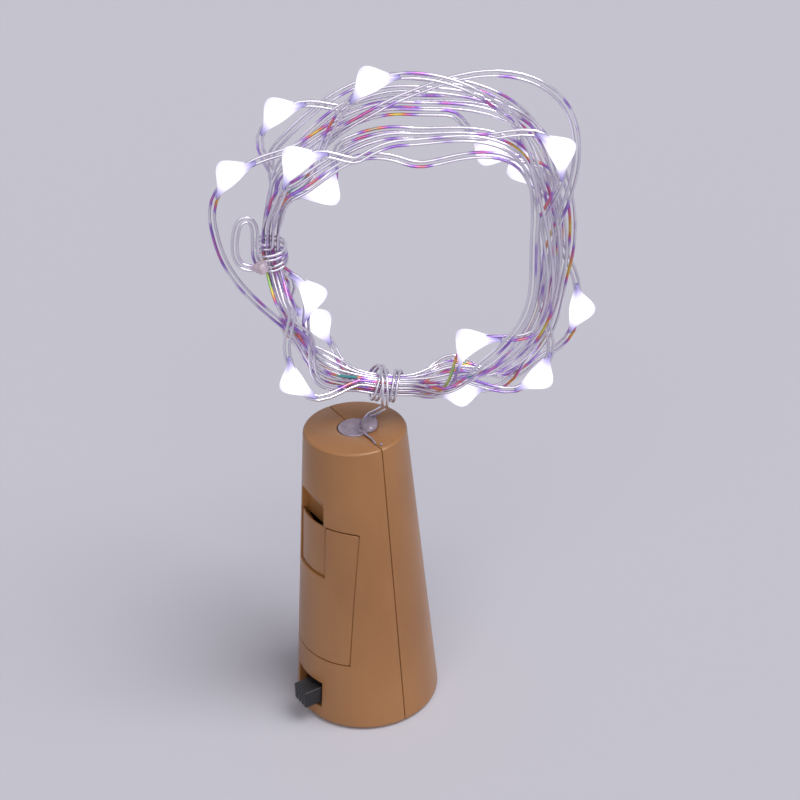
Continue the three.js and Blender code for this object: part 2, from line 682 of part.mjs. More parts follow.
// A drop of epoxy round both wires, open along the middle where they pass
function beadGeometry(bead) {
  const positions = [];
  const index = [];
  const boreAcross = PAIR_HALF + WIRE_RADIUS + BORE_CLEARANCE;
  const boreDeep = WIRE_RADIUS + BORE_CLEARANCE;
  for (const station of BEAD_STATIONS) {
    const angle = bead.angle + station * bead.half;
    const at = route.find(({ point }) => point.distanceTo(pairPoint(angle)) < 1e-6);
    const deep = at.along.clone().cross(at.across);
    const swell = Math.sqrt(1 - station ** 2);
    const radiusAcross = THREE.MathUtils.lerp(boreAcross + BEAD_END_WALL, BEAD_RADIUS, swell);
    const radiusDeep = THREE.MathUtils.lerp(BEAD_END_RADIUS, BEAD_RADIUS, swell);
    const shift = -bead.outward * BEAD_OFFSET * swell; // across points to the ring's middle
    for (const [across, through, offset] of [[radiusAcross, radiusDeep, shift], [boreAcross, boreDeep, 0]]) {
      for (let j = 0; j < BEAD_SIDES; j += 1) {
        const a = (2 * Math.PI * j) / BEAD_SIDES;
        const corner = at.point.clone().addScaledVector(at.across, offset + across * Math.cos(a));
        positions.push(...corner.addScaledVector(deep, through * Math.sin(a)).toArray());
      }
    }
  }
  const ring = 2 * BEAD_SIDES;
  const last = (BEAD_STATIONS.length - 1) * ring;
  for (let j = 0; j < BEAD_SIDES; j += 1) {
    const next = (j + 1) % BEAD_SIDES;
    for (let base = 0; base < last; base += ring) {
      index.push(base + j, base + next, base + ring + next);
      index.push(base + j, base + ring + next, base + ring + j);
      const [a, b] = [base + BEAD_SIDES + j, base + BEAD_SIDES + next];
      index.push(a, b + ring, b, a, a + ring, b + ring);
    }
    index.push(j, j + BEAD_SIDES, next + BEAD_SIDES, j, next + BEAD_SIDES, next);
    const [a, b] = [last + j, last + next];
    index.push(a, b + BEAD_SIDES, a + BEAD_SIDES, a, b, b + BEAD_SIDES);
  }
  const geometry = new THREE.BufferGeometry();
  geometry.setAttribute('position', new THREE.Float32BufferAttribute(positions, 3));
  geometry.setIndex(index);
  return geometry;
}

beads.forEach((bead, i) => {
  const name = `led_bead_${String(i + 1).padStart(2, '0')}`;
  placeSolid(name, solid(beadGeometry(bead)), LED_EPOXY, stringFrame);
});

// Sealing drop on the cut end of the string
function endDrop() {
  const end = route[route.length - 1];
  const middle = end.point.clone().addScaledVector(end.along, END_DROP_RADIUS + FIT);
  const geometry = new THREE.SphereGeometry(END_DROP_RADIUS, 12, 8);
  return solid(geometry.translate(...middle.toArray()));
}
placeSolid('string_end_drop', endDrop(), LED_EPOXY, stringFrame);

// Hot glue that fills the wire hole, with its mound over the wires and a thread along the seam
function gluePlug() {
  const radius = HOLE_RADIUS - TOUCH;
  const under = corkHeight - GLUE_DEPTH;
  const plug = turned([
    [0, under],
    [radius, under],
    [radius, corkHeight],
    [radius * 0.6, corkHeight - GLUE_DISH * 0.7],
    [0, corkHeight - GLUE_DISH],
  ], 24);
  const ball = new THREE.SphereGeometry(1, 16, 10);
  ball.scale(MOUND_HALF_WIDTH, MOUND_HALF_LENGTH, MOUND_HEIGHT + TOUCH);
  const mound = solid(ball.translate(MOUND_X, MOUND_Y, corkHeight));
  const above = box(-FAR, FAR, -FAR, FAR, corkHeight + TOUCH, corkHeight + FAR);
  const hole = disc(radius, under, corkHeight + FAR, 24);
  const thread = new THREE.CylinderGeometry(THREAD_RADIUS, THREAD_RADIUS, THREAD_LENGTH, 8);
  thread.translate(0, -THREAD_LENGTH / 2 - radius + 4 * THREAD_RADIUS, corkHeight + TOUCH);
  const drawn = solid(thread.rotateZ(Math.PI / 2 - stringFrame.rotation.z));
  let glue = plug;
  for (const form of [mound, drawn]) {
    glue = joined(glue, form.intersect(above), form.intersect(hole));
  }
  for (const points of [negativePoints, positivePoints]) {
    glue = glue.subtract(tube(points.slice(0, LEAD_POINTS.length), WIRE_RADIUS + BORE_CLEARANCE, 6));
  }
  return glue;
}
placeSolid('glue_plug', gluePlug(), HOT_GLUE, stringFrame);

// Button cell: crimped can, narrower cap below
function cellProfile(z) {
  const canZ = z + CELL_CAP_HEIGHT;
  const top = z + CELL_HEIGHT;
  return [
    [0, z],
    [CELL_CAP_RADIUS, z],
    [CELL_CAP_RADIUS, canZ],
    [CELL_RADIUS - CELL_EDGE, canZ],
    [CELL_RADIUS, canZ + CELL_EDGE],
    [CELL_RADIUS, top - CELL_EDGE],
    [CELL_RADIUS - CELL_EDGE, top],
    [0, top],
  ];
}
for (let i = 0; i < CELL_COUNT; i += 1) {
  const profile = cellProfile(cellsZ + i * (CELL_HEIGHT + TOUCH));
  placeSolid(`button_cell_${i + 1}`, turned(profile, 28), CELL_STEEL);
}

// Contact plates: a disc with a solder tab to the rear
const tabX = RESISTOR_X;
const tabY = RESISTOR_Y + RESISTOR_LEAD + TOUCH;
function contactTab(y1, z0, z1) {
  const half = CONTACT_TAB_WIDTH / 2;
  return box(tabX - half, tabX + half, CONTACT_RADIUS / 2, y1, z0, z1);
}
const springTabY = innerRadiusAt(springPlateZ) - SPRING_TAB_INSET;
const springTab = contactTab(springTabY, springPlateZ, springPlateZ + CONTACT_THICK);
const springPlate = disc(CONTACT_RADIUS, springPlateZ, springPlateZ + CONTACT_THICK, 40).add(springTab);
placeSolid('negative_contact_plate', springPlate, NICKEL);

const roofTabTop = highShelfTop + RESISTOR_LIFT - RESISTOR_BEND;
const half = CONTACT_TAB_WIDTH / 2;
const roofTab = box(tabX - half, tabX + half, tabY, tabY + CONTACT_THICK, roofPlateZ, roofTabTop);
const roofFoot = contactTab(tabY + CONTACT_THICK, roofPlateZ, roofPlateZ + CONTACT_THICK);
const roofPlate = joined(disc(CONTACT_RADIUS, roofPlateZ, roofPlateZ + CONTACT_THICK, 40), roofFoot, roofTab);
placeSolid('positive_contact_plate', roofPlate, NICKEL);

// Conical contact spring under the cells
function springPoints() {
  const points = [];
  const steps = SPRING_TURNS * 10;
  for (let i = 0; i <= steps; i += 1) {
    const share = i / steps;
    const a = 2 * Math.PI * SPRING_TURNS * share;
    const radius = THREE.MathUtils.lerp(SPRING_WIDE_RADIUS, SPRING_NARROW_RADIUS, share);
    const z = springZ + SPRING_WIRE / 2 + (SPRING_HEIGHT - SPRING_WIRE) * share;
    points.push(new THREE.Vector3(radius * Math.cos(a), radius * Math.sin(a), z));
  }
  return points;
}
placeSolid('negative_spring', tube(springPoints(), SPRING_WIRE / 2, 6), NICKEL);

// Resistor in the positive line, standing on the upper contact's tab
const resistorZ = highShelfTop + RESISTOR_LIFT;
const positiveEnd = toPart(positivePoints[0].toArray());
const negativeEnd = toPart(negativePoints[0].toArray());
function resistor() {
  const top = resistorZ + RESISTOR_LENGTH;
  const neck = RESISTOR_CAP + RESISTOR_ROUND;
  const body = turned([
    [0, resistorZ],
    [RESISTOR_RADIUS, resistorZ + RESISTOR_ROUND],
    [RESISTOR_RADIUS, resistorZ + RESISTOR_CAP],
    [RESISTOR_WAIST, resistorZ + neck],
    [RESISTOR_WAIST, top - neck],
    [RESISTOR_RADIUS, top - RESISTOR_CAP],
    [RESISTOR_RADIUS, top - RESISTOR_ROUND],
    [0, top],
  ], SMALL_SEGMENTS).translate(RESISTOR_X, RESISTOR_Y, 0);
  const foot = tube([
    new THREE.Vector3(RESISTOR_X, RESISTOR_Y, highShelfTop + FIT),
    new THREE.Vector3(RESISTOR_X, RESISTOR_Y, resistorZ + RESISTOR_GRIP),
  ], RESISTOR_LEAD, 6);
  const meet = positiveEnd.z - LEAD_CLEARANCE;
  const head = tube(smoothPoints([
    [RESISTOR_X, RESISTOR_Y, top - RESISTOR_GRIP],
    [RESISTOR_X, RESISTOR_Y, top + RESISTOR_BEND / 2],
    [(RESISTOR_X + positiveEnd.x) / 2, (RESISTOR_Y + positiveEnd.y) / 2, meet - 1.5 * RESISTOR_BEND],
    [positiveEnd.x, positiveEnd.y, meet - RESISTOR_BEND],
    [positiveEnd.x, positiveEnd.y, meet],
  ], 10), RESISTOR_LEAD, 6);
  return joined(body, foot, head);
}
placeSolid('series_resistor', resistor(), RESISTOR_PAINT);

// Leads: spring plate to switch, and switch to the string's negative wire
const pinY = -switchBack + BOARD_THICK + PIN_LENGTH;
function channelPoint(z) {
  const radius = innerRadiusAt(z) - LEAD_CLEARANCE - LEAD_RADIUS;
  const a = THREE.MathUtils.degToRad(CHANNEL_ANGLE);
  return [radius * Math.cos(a), radius * Math.sin(a), z];
}
const batteryLeadPoints = smoothPoints([
  [tabX, springTabY - LEAD_RADIUS - FIT, springPlateZ - LEAD_CLEARANCE],
  [tabX, springTabY - LEAD_RADIUS - FIT, springPlateZ - LEAD_BEND],
  [tabX, springTabY - LEAD_BEND, LOW_SHELF_Z - LEAD_BEND],
  [-PIN_PITCH, (springTabY + pinY) / 2, SWITCH_Z + LEAD_BEND],
  [-PIN_PITCH, pinY + LEAD_BEND, SWITCH_Z],
  [-PIN_PITCH, pinY + LEAD_CLEARANCE, SWITCH_Z],
], 24);
const stringLeadPoints = smoothPoints([
  [0, pinY + LEAD_CLEARANCE, SWITCH_Z],
  [0, pinY + LEAD_BEND, SWITCH_Z],
  [LEAD_BEND, pinY + 2.5 * LEAD_BEND, SWITCH_Z + LEAD_BEND / 2],
  channelPoint(LOW_SHELF_Z - LEAD_BEND),
  channelPoint(lowShelfTop + LEAD_BEND),
  channelPoint((cellsZ + cellsTop) / 2),
  channelPoint(cellsTop),
  channelPoint(highShelfTop + LEAD_BEND),
  [negativeEnd.x + LEAD_BEND, negativeEnd.y + LEAD_BEND, negativeEnd.z - 2 * LEAD_BEND],
  [negativeEnd.x, negativeEnd.y, negativeEnd.z - LEAD_BEND],
  [negativeEnd.x, negativeEnd.y, negativeEnd.z - LEAD_CLEARANCE],
], 36);
placeSolid('battery_lead', tube(batteryLeadPoints, LEAD_RADIUS, 6), BLACK_PVC);
placeSolid('string_lead', tube(stringLeadPoints, LEAD_RADIUS, 6), RED_PVC);

// Slide switch: a folded sheet housing with a slot, its board, pins, and the sliding knob
function switchHousing() {
  const w = SWITCH_WIDTH / 2;
  const h = SWITCH_HEIGHT / 2;
  const body = box(-w, w, -switchFront, -switchBack, SWITCH_Z - h, SWITCH_Z + h);
  const inner = box(-w + SWITCH_SHEET, w - SWITCH_SHEET, SWITCH_SHEET - switchFront, FAR,
    SWITCH_Z - h + SWITCH_SHEET, SWITCH_Z + h - SWITCH_SHEET);
  const slotX = knobX + KNOB_WIDTH / 2 + FIT;
  const slotZ = KNOB_HEIGHT / 2 + FIT;
  return body.subtract(inner).subtract(box(-slotX, slotX, -FAR, 0, SWITCH_Z - slotZ, SWITCH_Z + slotZ));
}
placeSolid('switch_housing', switchHousing(), NICKEL);

const pinXs = [-PIN_PITCH, 0, PIN_PITCH];
const boardY = -switchBack + TOUCH;
function pinBox(x, margin) {
  const w = PIN_WIDTH / 2 + margin;
  const h = PIN_THICK / 2 + margin;
  return box(x - w, x + w, boardY - PIN_THICK - margin, pinY, SWITCH_Z - h, SWITCH_Z + h);
}
function switchBoard() {
  const w = SWITCH_WIDTH / 2;
  const h = SWITCH_HEIGHT / 2;
  let board = box(-w, w, boardY, boardY + BOARD_THICK, SWITCH_Z - h, SWITCH_Z + h);
  for (const x of pinXs) {
    board = board.subtract(pinBox(x, TOUCH));
  }
  return board;
}
placeSolid('switch_board', switchBoard(), PHENOLIC);
pinXs.forEach((x, i) => placeSolid(`switch_pin_${i + 1}`, pinBox(x, 0), BRASS));

const carriageFront = SWITCH_SHEET + FIT - switchFront;
const carriageBack = carriageFront + CARRIAGE_DEPTH;
function switchKnob() {
  const w = KNOB_WIDTH / 2;
  const h = KNOB_HEIGHT / 2;
  const r = KNOB_ROUND;
  const tip = -radiusAt(SWITCH_Z) - KNOB_PROUD;
  const face = new THREE.Shape();
  face.absarc(w - r, h - r, r, 0, Math.PI / 2);
  face.absarc(r - w, h - r, r, Math.PI / 2, Math.PI);
  face.absarc(r - w, r - h, r, Math.PI, 1.5 * Math.PI);
  face.absarc(w - r, r - h, r, 1.5 * Math.PI, 2 * Math.PI);
  const settings = { depth: carriageFront - tip, bevelEnabled: false, curveSegments: 3 };
  const bar = new THREE.ExtrudeGeometry(face, settings).rotateX(Math.PI / 2);
  const knob = solid(bar.translate(knobX, carriageFront + TOUCH, SWITCH_Z));
  const half = CARRIAGE_WIDTH / 2;
  const rise = CARRIAGE_HEIGHT / 2;
  const [z0, z1] = [SWITCH_Z - rise, SWITCH_Z + rise];
  return knob.add(box(knobX - half, knobX + half, carriageFront, carriageBack, z0, z1));
}
placeSolid('switch_slider', switchKnob(), BLACK_NYLON);

// Bridging contact behind the slider, which joins two pins
function switchWiper() {
  const reach = PIN_PITCH / 2 + PIN_WIDTH / 2;
  const y0 = carriageBack + TOUCH;
  const [x0, x1] = [knobX - reach, knobX + reach];
  const bar = box(x0, x1, y0, y0 + WIPER_THICK, SWITCH_Z - PIN_WIDTH, SWITCH_Z + PIN_WIDTH);
  const y1 = boardY - PIN_THICK - FIT;
  const dimple = PIN_WIDTH / 2;
  const [z0, z1] = [SWITCH_Z - dimple, SWITCH_Z + dimple];
  return joined(bar, box(x0, x0 + dimple, y0, y1, z0, z1), box(x1 - dimple, x1, y0, y1, z0, z1));
}
placeSolid('switch_wiper', switchWiper(), BRASS);

// Stopper: outer form and hollow
function arcPoints(x, z, radius, from, to) {
  const points = [];
  for (let i = 0; i <= 4; i += 1) {
    const a = THREE.MathUtils.degToRad(from + ((to - from) * i) / 4);
    points.push([x + radius * Math.cos(a), z + radius * Math.sin(a)]);
  }
  return points;
}
function corkOuter() {
  const low = arcPoints(radiusAt(BASE_ROUND) - BASE_ROUND, BASE_ROUND, BASE_ROUND, -90, 0);
  const highZ = corkHeight - TOP_ROUND;
  const high = arcPoints(radiusAt(highZ) - TOP_ROUND, highZ, TOP_ROUND, 0, 90);
  return turned([[0, 0], ...low, ...high, [0, corkHeight]]);
}
function corkHollow() {
  const top = corkHeight - END_WALL;
  return turned([[0, END_WALL], [innerRadiusAt(END_WALL), END_WALL], [innerRadiusAt(top), top], [0, top]]);
}

// The cork's taper at a depth below its face, past both ends
function taperSolid(depth) {
  return turned([[0, -FAR], [radiusAt(-FAR) - depth, -FAR], [radiusAt(FAR) - depth, FAR], [0, FAR]]);
}

const FRONT = box(-FAR, FAR, -FAR, -SEAM_GAP / 2, -FAR, 2 * FAR);
const REAR = box(-FAR, FAR, SEAM_GAP / 2, FAR, -FAR, 2 * FAR);
const corkWall = corkOuter().subtract(corkHollow()).subtract(disc(HOLE_RADIUS, 0.5 * corkHeight, FAR, 32));

function keyBlock(margin) {
  const w = KEY_WIDTH / 2 + margin;
  return box(-w, w, -KEY_LENGTH - margin, 1, margin ? -1 : 0, END_WALL + margin);
}

// Pegs join the halves beside the switch and above the cells
const highPegZ = corkHeight - END_WALL - HIGH_PEG_DROP;
const pegPlaces = [
  [LOW_PEG_X, LOW_PEG_Z],
  [-LOW_PEG_X, LOW_PEG_Z],
  [HIGH_PEG_X, highPegZ],
  [-HIGH_PEG_X, highPegZ],
];
function wallDepth(x, z) {
  return Math.sqrt(innerRadiusAt(z) ** 2 - x ** 2) + BITE;
}

function shelf(z) {
  const top = z + SHELF_THICK;
  const held = disc(innerRadiusAt(top) + BITE, z, top).intersect(REAR);
  const reach = box(-FAR, FAR, -SHELF_REACH, 1, z, top);
  return held.add(disc(innerRadiusAt(top) - LEAD_CLEARANCE, z, top).intersect(reach));
}

function cradleRib(z) {
  const z0 = z - RIB_THICK / 2;
  const z1 = z + RIB_THICK / 2;
  const room = disc(CELL_RADIUS + TOUCH, z0 - 1, z1 + 1, 28);
  return disc(innerRadiusAt(z1) + BITE, z0, z1).subtract(room).intersect(REAR);
}

function rearShell() {
  let shell = corkWall.intersect(REAR).add(keyBlock(0));
  shell = joined(shell, shelf(LOW_SHELF_Z), shelf(highShelfZ));
  for (let i = 0; i < CELL_COUNT; i += 1) {
    shell = shell.add(cradleRib(cellsZ + (i + 0.5) * (CELL_HEIGHT + TOUCH)));
  }
  for (const [x, z] of pegPlaces) {
    shell = shell.add(peg(BOSS_RADIUS, x, z, SEAM_GAP / 2, wallDepth(Math.abs(x), z)));
    shell = shell.add(peg(PEG_RADIUS, x, z, -PEG_LENGTH, 1));
  }
  // Two plates that bear on the back of the switch between its pins
  for (const x of [-PIN_PITCH / 2, PIN_PITCH / 2]) {
    const [x0, x1] = [x - STOP_THICK / 2, x + STOP_THICK / 2];
    const y1 = innerRadiusAt(SWITCH_Z) - 1;
    const plate = box(x0, x1, boardY + BOARD_THICK + TOUCH, y1, END_WALL + FIT, SWITCH_Z + 1);
    const foot = box(x0, x1, -KEY_LENGTH, y1, END_WALL - BITE, SWITCH_Z + 1);
    shell = joined(shell, plate, foot);
  }
  for (const points of [batteryLeadPoints, stringLeadPoints]) {
    shell = shell.subtract(tube(points, LEAD_RADIUS + LEAD_CLEARANCE, 6));
  }
  const [x0, x1] = [tabX - half - FIT, tabX + half + FIT];
  const slotTop = corkHeight - END_WALL - 1;
  return shell.subtract(box(x0, x1, tabY - FIT, tabY + CONTACT_THICK + FIT, roofPlateZ, slotTop));
}
placeSolid('rear_shell', rearShell(), TAN_ABS);

// The door's outline from the side: an arc about the hinge at its head, so that it swings clear
function doorBlank(inset) {
  const foot = doorBottom + inset;
  const reach = doorReach - inset;
  const shape = new THREE.Shape();
  const rearY = -1;
  const headAngle = Math.acos((rearY - hingeY) / reach);
  shape.moveTo(-reach, foot);
  shape.lineTo(rearY, foot);
  shape.absarc(hingeY, hingeZ, reach, headAngle, Math.PI * 0.75, false);
  return sideProfile(shape, DOOR_WIDTH - 2 * inset);
}

function latchBlock(width, depth, z0, z1) {
  const slab = box(-width / 2, width / 2, -FAR, 0, z0, z1);
  return slab.subtract(taperSolid(depth));
}

const outside = taperSolid(-BITE);
function batteryDoor() {
  const skin = doorBlank(0).intersect(corkOuter()).subtract(taperSolid(DOOR_SKIN));
  const back = doorBlank(DOOR_LEDGE).intersect(taperSolid(DOOR_SKIN - 0.05)).subtract(taperSolid(WALL));
  let door = skin.add(back);
  // Hooks behind the shell at the foot
  const hookFoot = doorBottom - HOOK_DROP;
  const armFoot = doorBottom + DOOR_LEDGE;
  const hookY = 2 * FIT - Math.sqrt(innerRadiusAt(hookFoot) ** 2 - (HOOK_X + HOOK_WIDTH / 2) ** 2);
  for (const x of [-HOOK_X, HOOK_X]) {
    const [x0, x1] = [x - HOOK_WIDTH / 2, x + HOOK_WIDTH / 2];
    const hook = box(x0, x1, hookY, hookY + HOOK_THICK, hookFoot, armFoot + HOOK_RISE);
    const arm = box(x0, x1, -FAR, hookY + HOOK_THICK, armFoot, armFoot + HOOK_RISE);
    door = joined(door, hook, arm.intersect(taperSolid(DOOR_SKIN)));
  }
  // Latch tongue, sunk a little, between two slits that end in a groove
  const latchZ = doorTop - LATCH_LENGTH;
  door = door.subtract(latchBlock(LATCH_WIDTH, LATCH_SINK, latchZ, corkHeight));
  for (const side of [-1, 1]) {
    const x = side * (LATCH_WIDTH + LATCH_SLIT) / 2;
    door = door.subtract(box(x - LATCH_SLIT / 2, x + LATCH_SLIT / 2, -FAR, -1, latchZ, corkHeight));
  }
  const grooveWidth = LATCH_WIDTH + 2 * LATCH_SLIT;
  return door.subtract(latchBlock(grooveWidth, LATCH_GROOVE_DEPTH, latchZ - LATCH_GROOVE, latchZ));
}
placeSolid('battery_door', batteryDoor(), TAN_ABS);

// Finger notch: deep at the door's head, running out to the face above
function notchWedge(width, extra) {
  const z0 = doorTop - NOTCH_FOOT;
  const z1 = doorTop + NOTCH_HEIGHT;
  const shape = new THREE.Shape();
  shape.moveTo(-FAR, z0);
  shape.lineTo(NOTCH_DEPTH + extra - radiusAt(z0), z0);
  const slopeFoot = doorTop + NOTCH_FOOT;
  shape.lineTo(NOTCH_DEPTH + extra - radiusAt(slopeFoot), slopeFoot);
  shape.lineTo(extra - radiusAt(z1), z1 + extra);
  shape.lineTo(-FAR, z1 + extra);
  shape.closePath();
  return sideProfile(shape, width);
}

function frontShell() {
  let shell = corkWall.intersect(FRONT).subtract(keyBlock(FIT));
  const notchBack = notchWedge(NOTCH_WIDTH + 2 * NOTCH_FLOOR, NOTCH_FLOOR).intersect(corkOuter());
  shell = joined(shell, notchBack).subtract(notchWedge(NOTCH_WIDTH, 0));
  for (const [x, z] of pegPlaces) {
    const boss = peg(BOSS_RADIUS, x, z, -wallDepth(Math.abs(x), z), -SEAM_GAP / 2);
    const hole = peg(PEG_RADIUS + TOUCH, x, z, -PEG_LENGTH - FIT, 1);
    shell = shell.add(boss.intersect(corkOuter())).subtract(hole);
  }
  // Seat and side walls round the switch
  const w = SWITCH_WIDTH / 2 + FIT;
  const seat = box(-w, w, -switchFront, -switchBack, END_WALL - BITE, switchBottom - TOUCH);
  const left = box(-w - 1, -w, -FAR, -switchBack, END_WALL - BITE, SWITCH_Z + 1);
  const right = box(w, w + 1, -FAR, -switchBack, END_WALL - BITE, SWITCH_Z + 1);
  shell = shell.add(joined(seat, left, right).intersect(corkOuter()));
  const [windowX, windowZ] = [WINDOW_WIDTH / 2, WINDOW_HEIGHT / 2];
  shell = shell.subtract(box(-windowX, windowX, -FAR, -switchFront, SWITCH_Z - windowZ, SWITCH_Z + windowZ));
  const recess = doorBlank(-FIT).intersect(outside).subtract(taperSolid(DOOR_SKIN + TOUCH));
  return shell.subtract(recess).subtract(doorBlank(DOOR_LEDGE - FIT));
}
placeSolid('front_shell', frontShell(), TAN_ABS);

export default part;
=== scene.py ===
import math

import bmesh
import bpy
from mathutils import Matrix, Vector


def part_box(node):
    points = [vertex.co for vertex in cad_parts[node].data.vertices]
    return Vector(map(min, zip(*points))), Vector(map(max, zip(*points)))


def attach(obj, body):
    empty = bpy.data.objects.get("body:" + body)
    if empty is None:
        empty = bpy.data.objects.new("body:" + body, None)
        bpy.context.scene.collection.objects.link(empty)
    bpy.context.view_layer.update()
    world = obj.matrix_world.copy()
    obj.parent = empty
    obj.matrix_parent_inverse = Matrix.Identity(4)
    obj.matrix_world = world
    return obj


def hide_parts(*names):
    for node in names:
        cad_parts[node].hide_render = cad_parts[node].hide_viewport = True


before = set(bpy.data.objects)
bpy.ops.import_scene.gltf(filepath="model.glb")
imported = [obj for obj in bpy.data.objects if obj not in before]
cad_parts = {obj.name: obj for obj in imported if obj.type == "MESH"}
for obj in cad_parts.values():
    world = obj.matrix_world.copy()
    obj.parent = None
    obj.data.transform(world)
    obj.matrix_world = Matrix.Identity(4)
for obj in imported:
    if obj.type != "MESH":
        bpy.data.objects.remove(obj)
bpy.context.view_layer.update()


# Rear half of the stopper: one moulding in tan ABS with the shelves, cradle ribs and pegs inside.
# The front half snaps on to its pegs, and the two meet in a fine seam. Its edges come out of the
# tool with a slight round, and the face has the faint sand texture of the cavity.
MM = 0.001
STOPPER_TAPER = 0.075
BASE_ROUND = 0.9 * MM
EDGE_ROUND = 0.13 * MM
OUTER_SKIN = 0.9 * MM  # depth below the taper within which an edge is an outer one
TOP_SKIN = 0.05 * MM
ROUNDED_EDGES = (35, 120)  # least and most degrees at an edge that gets a round
CREASE = 40  # degrees above which an edge stays sharp in the shading
TAPER_FACES = 9  # degrees off the taper within which a face belongs to it
SMALLEST_FACE = 0.2 * MM  # side of the smallest face that can belong to it
CLOSE_POINTS = 0.05 * MM  # points of the copy nearer than this are made one
FLAT_STRIPS = 0.5  # degrees between faces of the copy that are made one
SAND_GRAIN = 0.45 * MM  # the real texture is about 0.1 mm, drawn coarser so that it shows
FLOW_MARKS = 7 * MM


def linear(code):
    """A colour written as sRGB hex, as the shader wants it."""
    parts = [int(code[i:i + 2], 16) / 255 for i in (1, 3, 5)]
    return [c / 12.92 if c < 0.04045 else ((c + 0.055) / 1.055) ** 2.4 for c in parts] + [1]


def add(tree, kind, inputs=None, **settings):
    """A node with its settings, and its sockets set or linked."""
    made = tree.nodes.new(kind)
    for name, value in settings.items():
        setattr(made, name, value)
    for name, value in (inputs or {}).items():
        if isinstance(value, bpy.types.NodeSocket):
            tree.links.new(value, made.inputs[name])
        else:
            made.inputs[name].default_value = value
    return made


def new_material(name):
    """An empty node material and its tree."""
    material = bpy.data.materials.new(name)
    material.use_nodes = True
    material.node_tree.nodes.clear()
    return material, material.node_tree


def surfaced(material, inputs):
    """The material with one shader as its surface."""
    shader = add(material.node_tree, "ShaderNodeBsdfPrincipled", inputs)
    add(material.node_tree, "ShaderNodeOutputMaterial", {"Surface": shader.outputs["BSDF"]})
    return material


def noise(tree, size, detail, stretch=(1, 1, 1)):
    """Noise in the object's own space, with marks of about a given size."""
    place = add(tree, "ShaderNodeTexCoord").outputs["Object"]
    drawn = add(tree, "ShaderNodeMapping", {"Vector": place, "Scale": stretch}).outputs["Vector"]
    made = add(tree, "ShaderNodeTexNoise", {"Vector": drawn, "Scale": 1 / size, "Detail": detail})
    return made.outputs["Fac"]


def spread(tree, value, low, high):
    """A value from 0 to 1 mapped to a range."""
    made = add(tree, "ShaderNodeMapRange", {"Value": value, "To Min": low, "To Max": high})
    return made.outputs["Result"]


def bumps(tree, height, strength, depth):
    made = add(tree, "ShaderNodeBump", {"Height": height, "Strength": strength, "Distance": depth})
    return made.outputs["Normal"]


def ramp(tree, fac, stops, interpolation="LINEAR"):
    """Colours along a value."""
    made = add(tree, "ShaderNodeValToRGB", {"Fac": fac})
    made.color_ramp.interpolation = interpolation
    elements = made.color_ramp.elements
    while len(elements) < len(stops):
        elements.new(0.5)
    for element, (at, code) in zip(elements, stops):
        element.position = at
        element.color = linear(code)
    return made.outputs["Color"]


def tan_abs():
    """Moulded ABS: satin, with soft flow marks in the colour and a faint grain in the gloss."""
    material, tree = new_material("moulded_abs_tan")
    flow = noise(tree, FLOW_MARKS, 3, (1, 1, 0.4))
    grain = noise(tree, SAND_GRAIN, 2)
    return surfaced(material, {
        "Base Color": ramp(tree, flow, [(0.3, "#9A693D"), (0.7, "#A77546")]),
        "Roughness": spread(tree, grain, 0.24, 0.4), "IOR": 1.53,
        "Normal": bumps(tree, grain, 0.25, 0.02 * MM)})


def in_scene(name, data):
    made = bpy.data.objects.new(name, data)
    bpy.context.scene.collection.objects.link(made)
    return made


def new_piece(name, mesh, material, body, *nodes):
    """A finished piece that rides on a body and stands for CAD nodes."""
    piece = in_scene(name, mesh)
    piece.data.materials.clear()
    piece.data.materials.append(material)
    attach(piece, body)
    if nodes:
        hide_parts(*nodes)
    return piece


STOPPER_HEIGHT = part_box("rear_shell")[1].z
STOPPER_FOOT_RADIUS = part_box("rear_shell")[1].y + STOPPER_TAPER * BASE_ROUND


def stopper_radius(z):
    return STOPPER_FOOT_RADIUS - STOPPER_TAPER * z


def shaded_mesh(bm, name, crease):
    """The finished mesh, shaded smooth but for the edges sharper than a crease."""
    mesh = bpy.data.meshes.new(name)
    bm.to_mesh(mesh)
    bm.free()
    for polygon in mesh.polygons:
        polygon.use_smooth = True
    mesh.set_sharp_from_angle(angle=math.radians(crease))
    return mesh


def moulded_copy(node):
    """The node's own shape with its outer edges rounded, shaded as the turned taper that it is."""
    bm = bmesh.new()
    bm.from_mesh(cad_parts[node].data)
    bmesh.ops.remove_doubles(bm, verts=bm.verts, dist=CLOSE_POINTS)
    bmesh.ops.dissolve_limit(bm, angle_limit=math.radians(FLAT_STRIPS), verts=bm.verts, edges=bm.edges)
    least, most = (math.radians(angle) for angle in ROUNDED_EDGES)

    def outside(vertex):
        x, y, z = vertex.co
        return math.hypot(x, y) > stopper_radius(z) - OUTER_SKIN or z > STOPPER_HEIGHT - TOP_SKIN

    square = [e for e in bm.edges
              if least < e.calc_face_angle_signed(0) < most and all(outside(v) for v in e.verts)]
    bmesh.ops.bevel(bm, geom=square, offset=EDGE_ROUND, offset_type="OFFSET", segments=2, profile=0.5,
                    affect="EDGES", clamp_overlap=False)
    mesh = shaded_mesh(bm, node + "_moulded", CREASE)
    taper_normals(mesh)
    return mesh


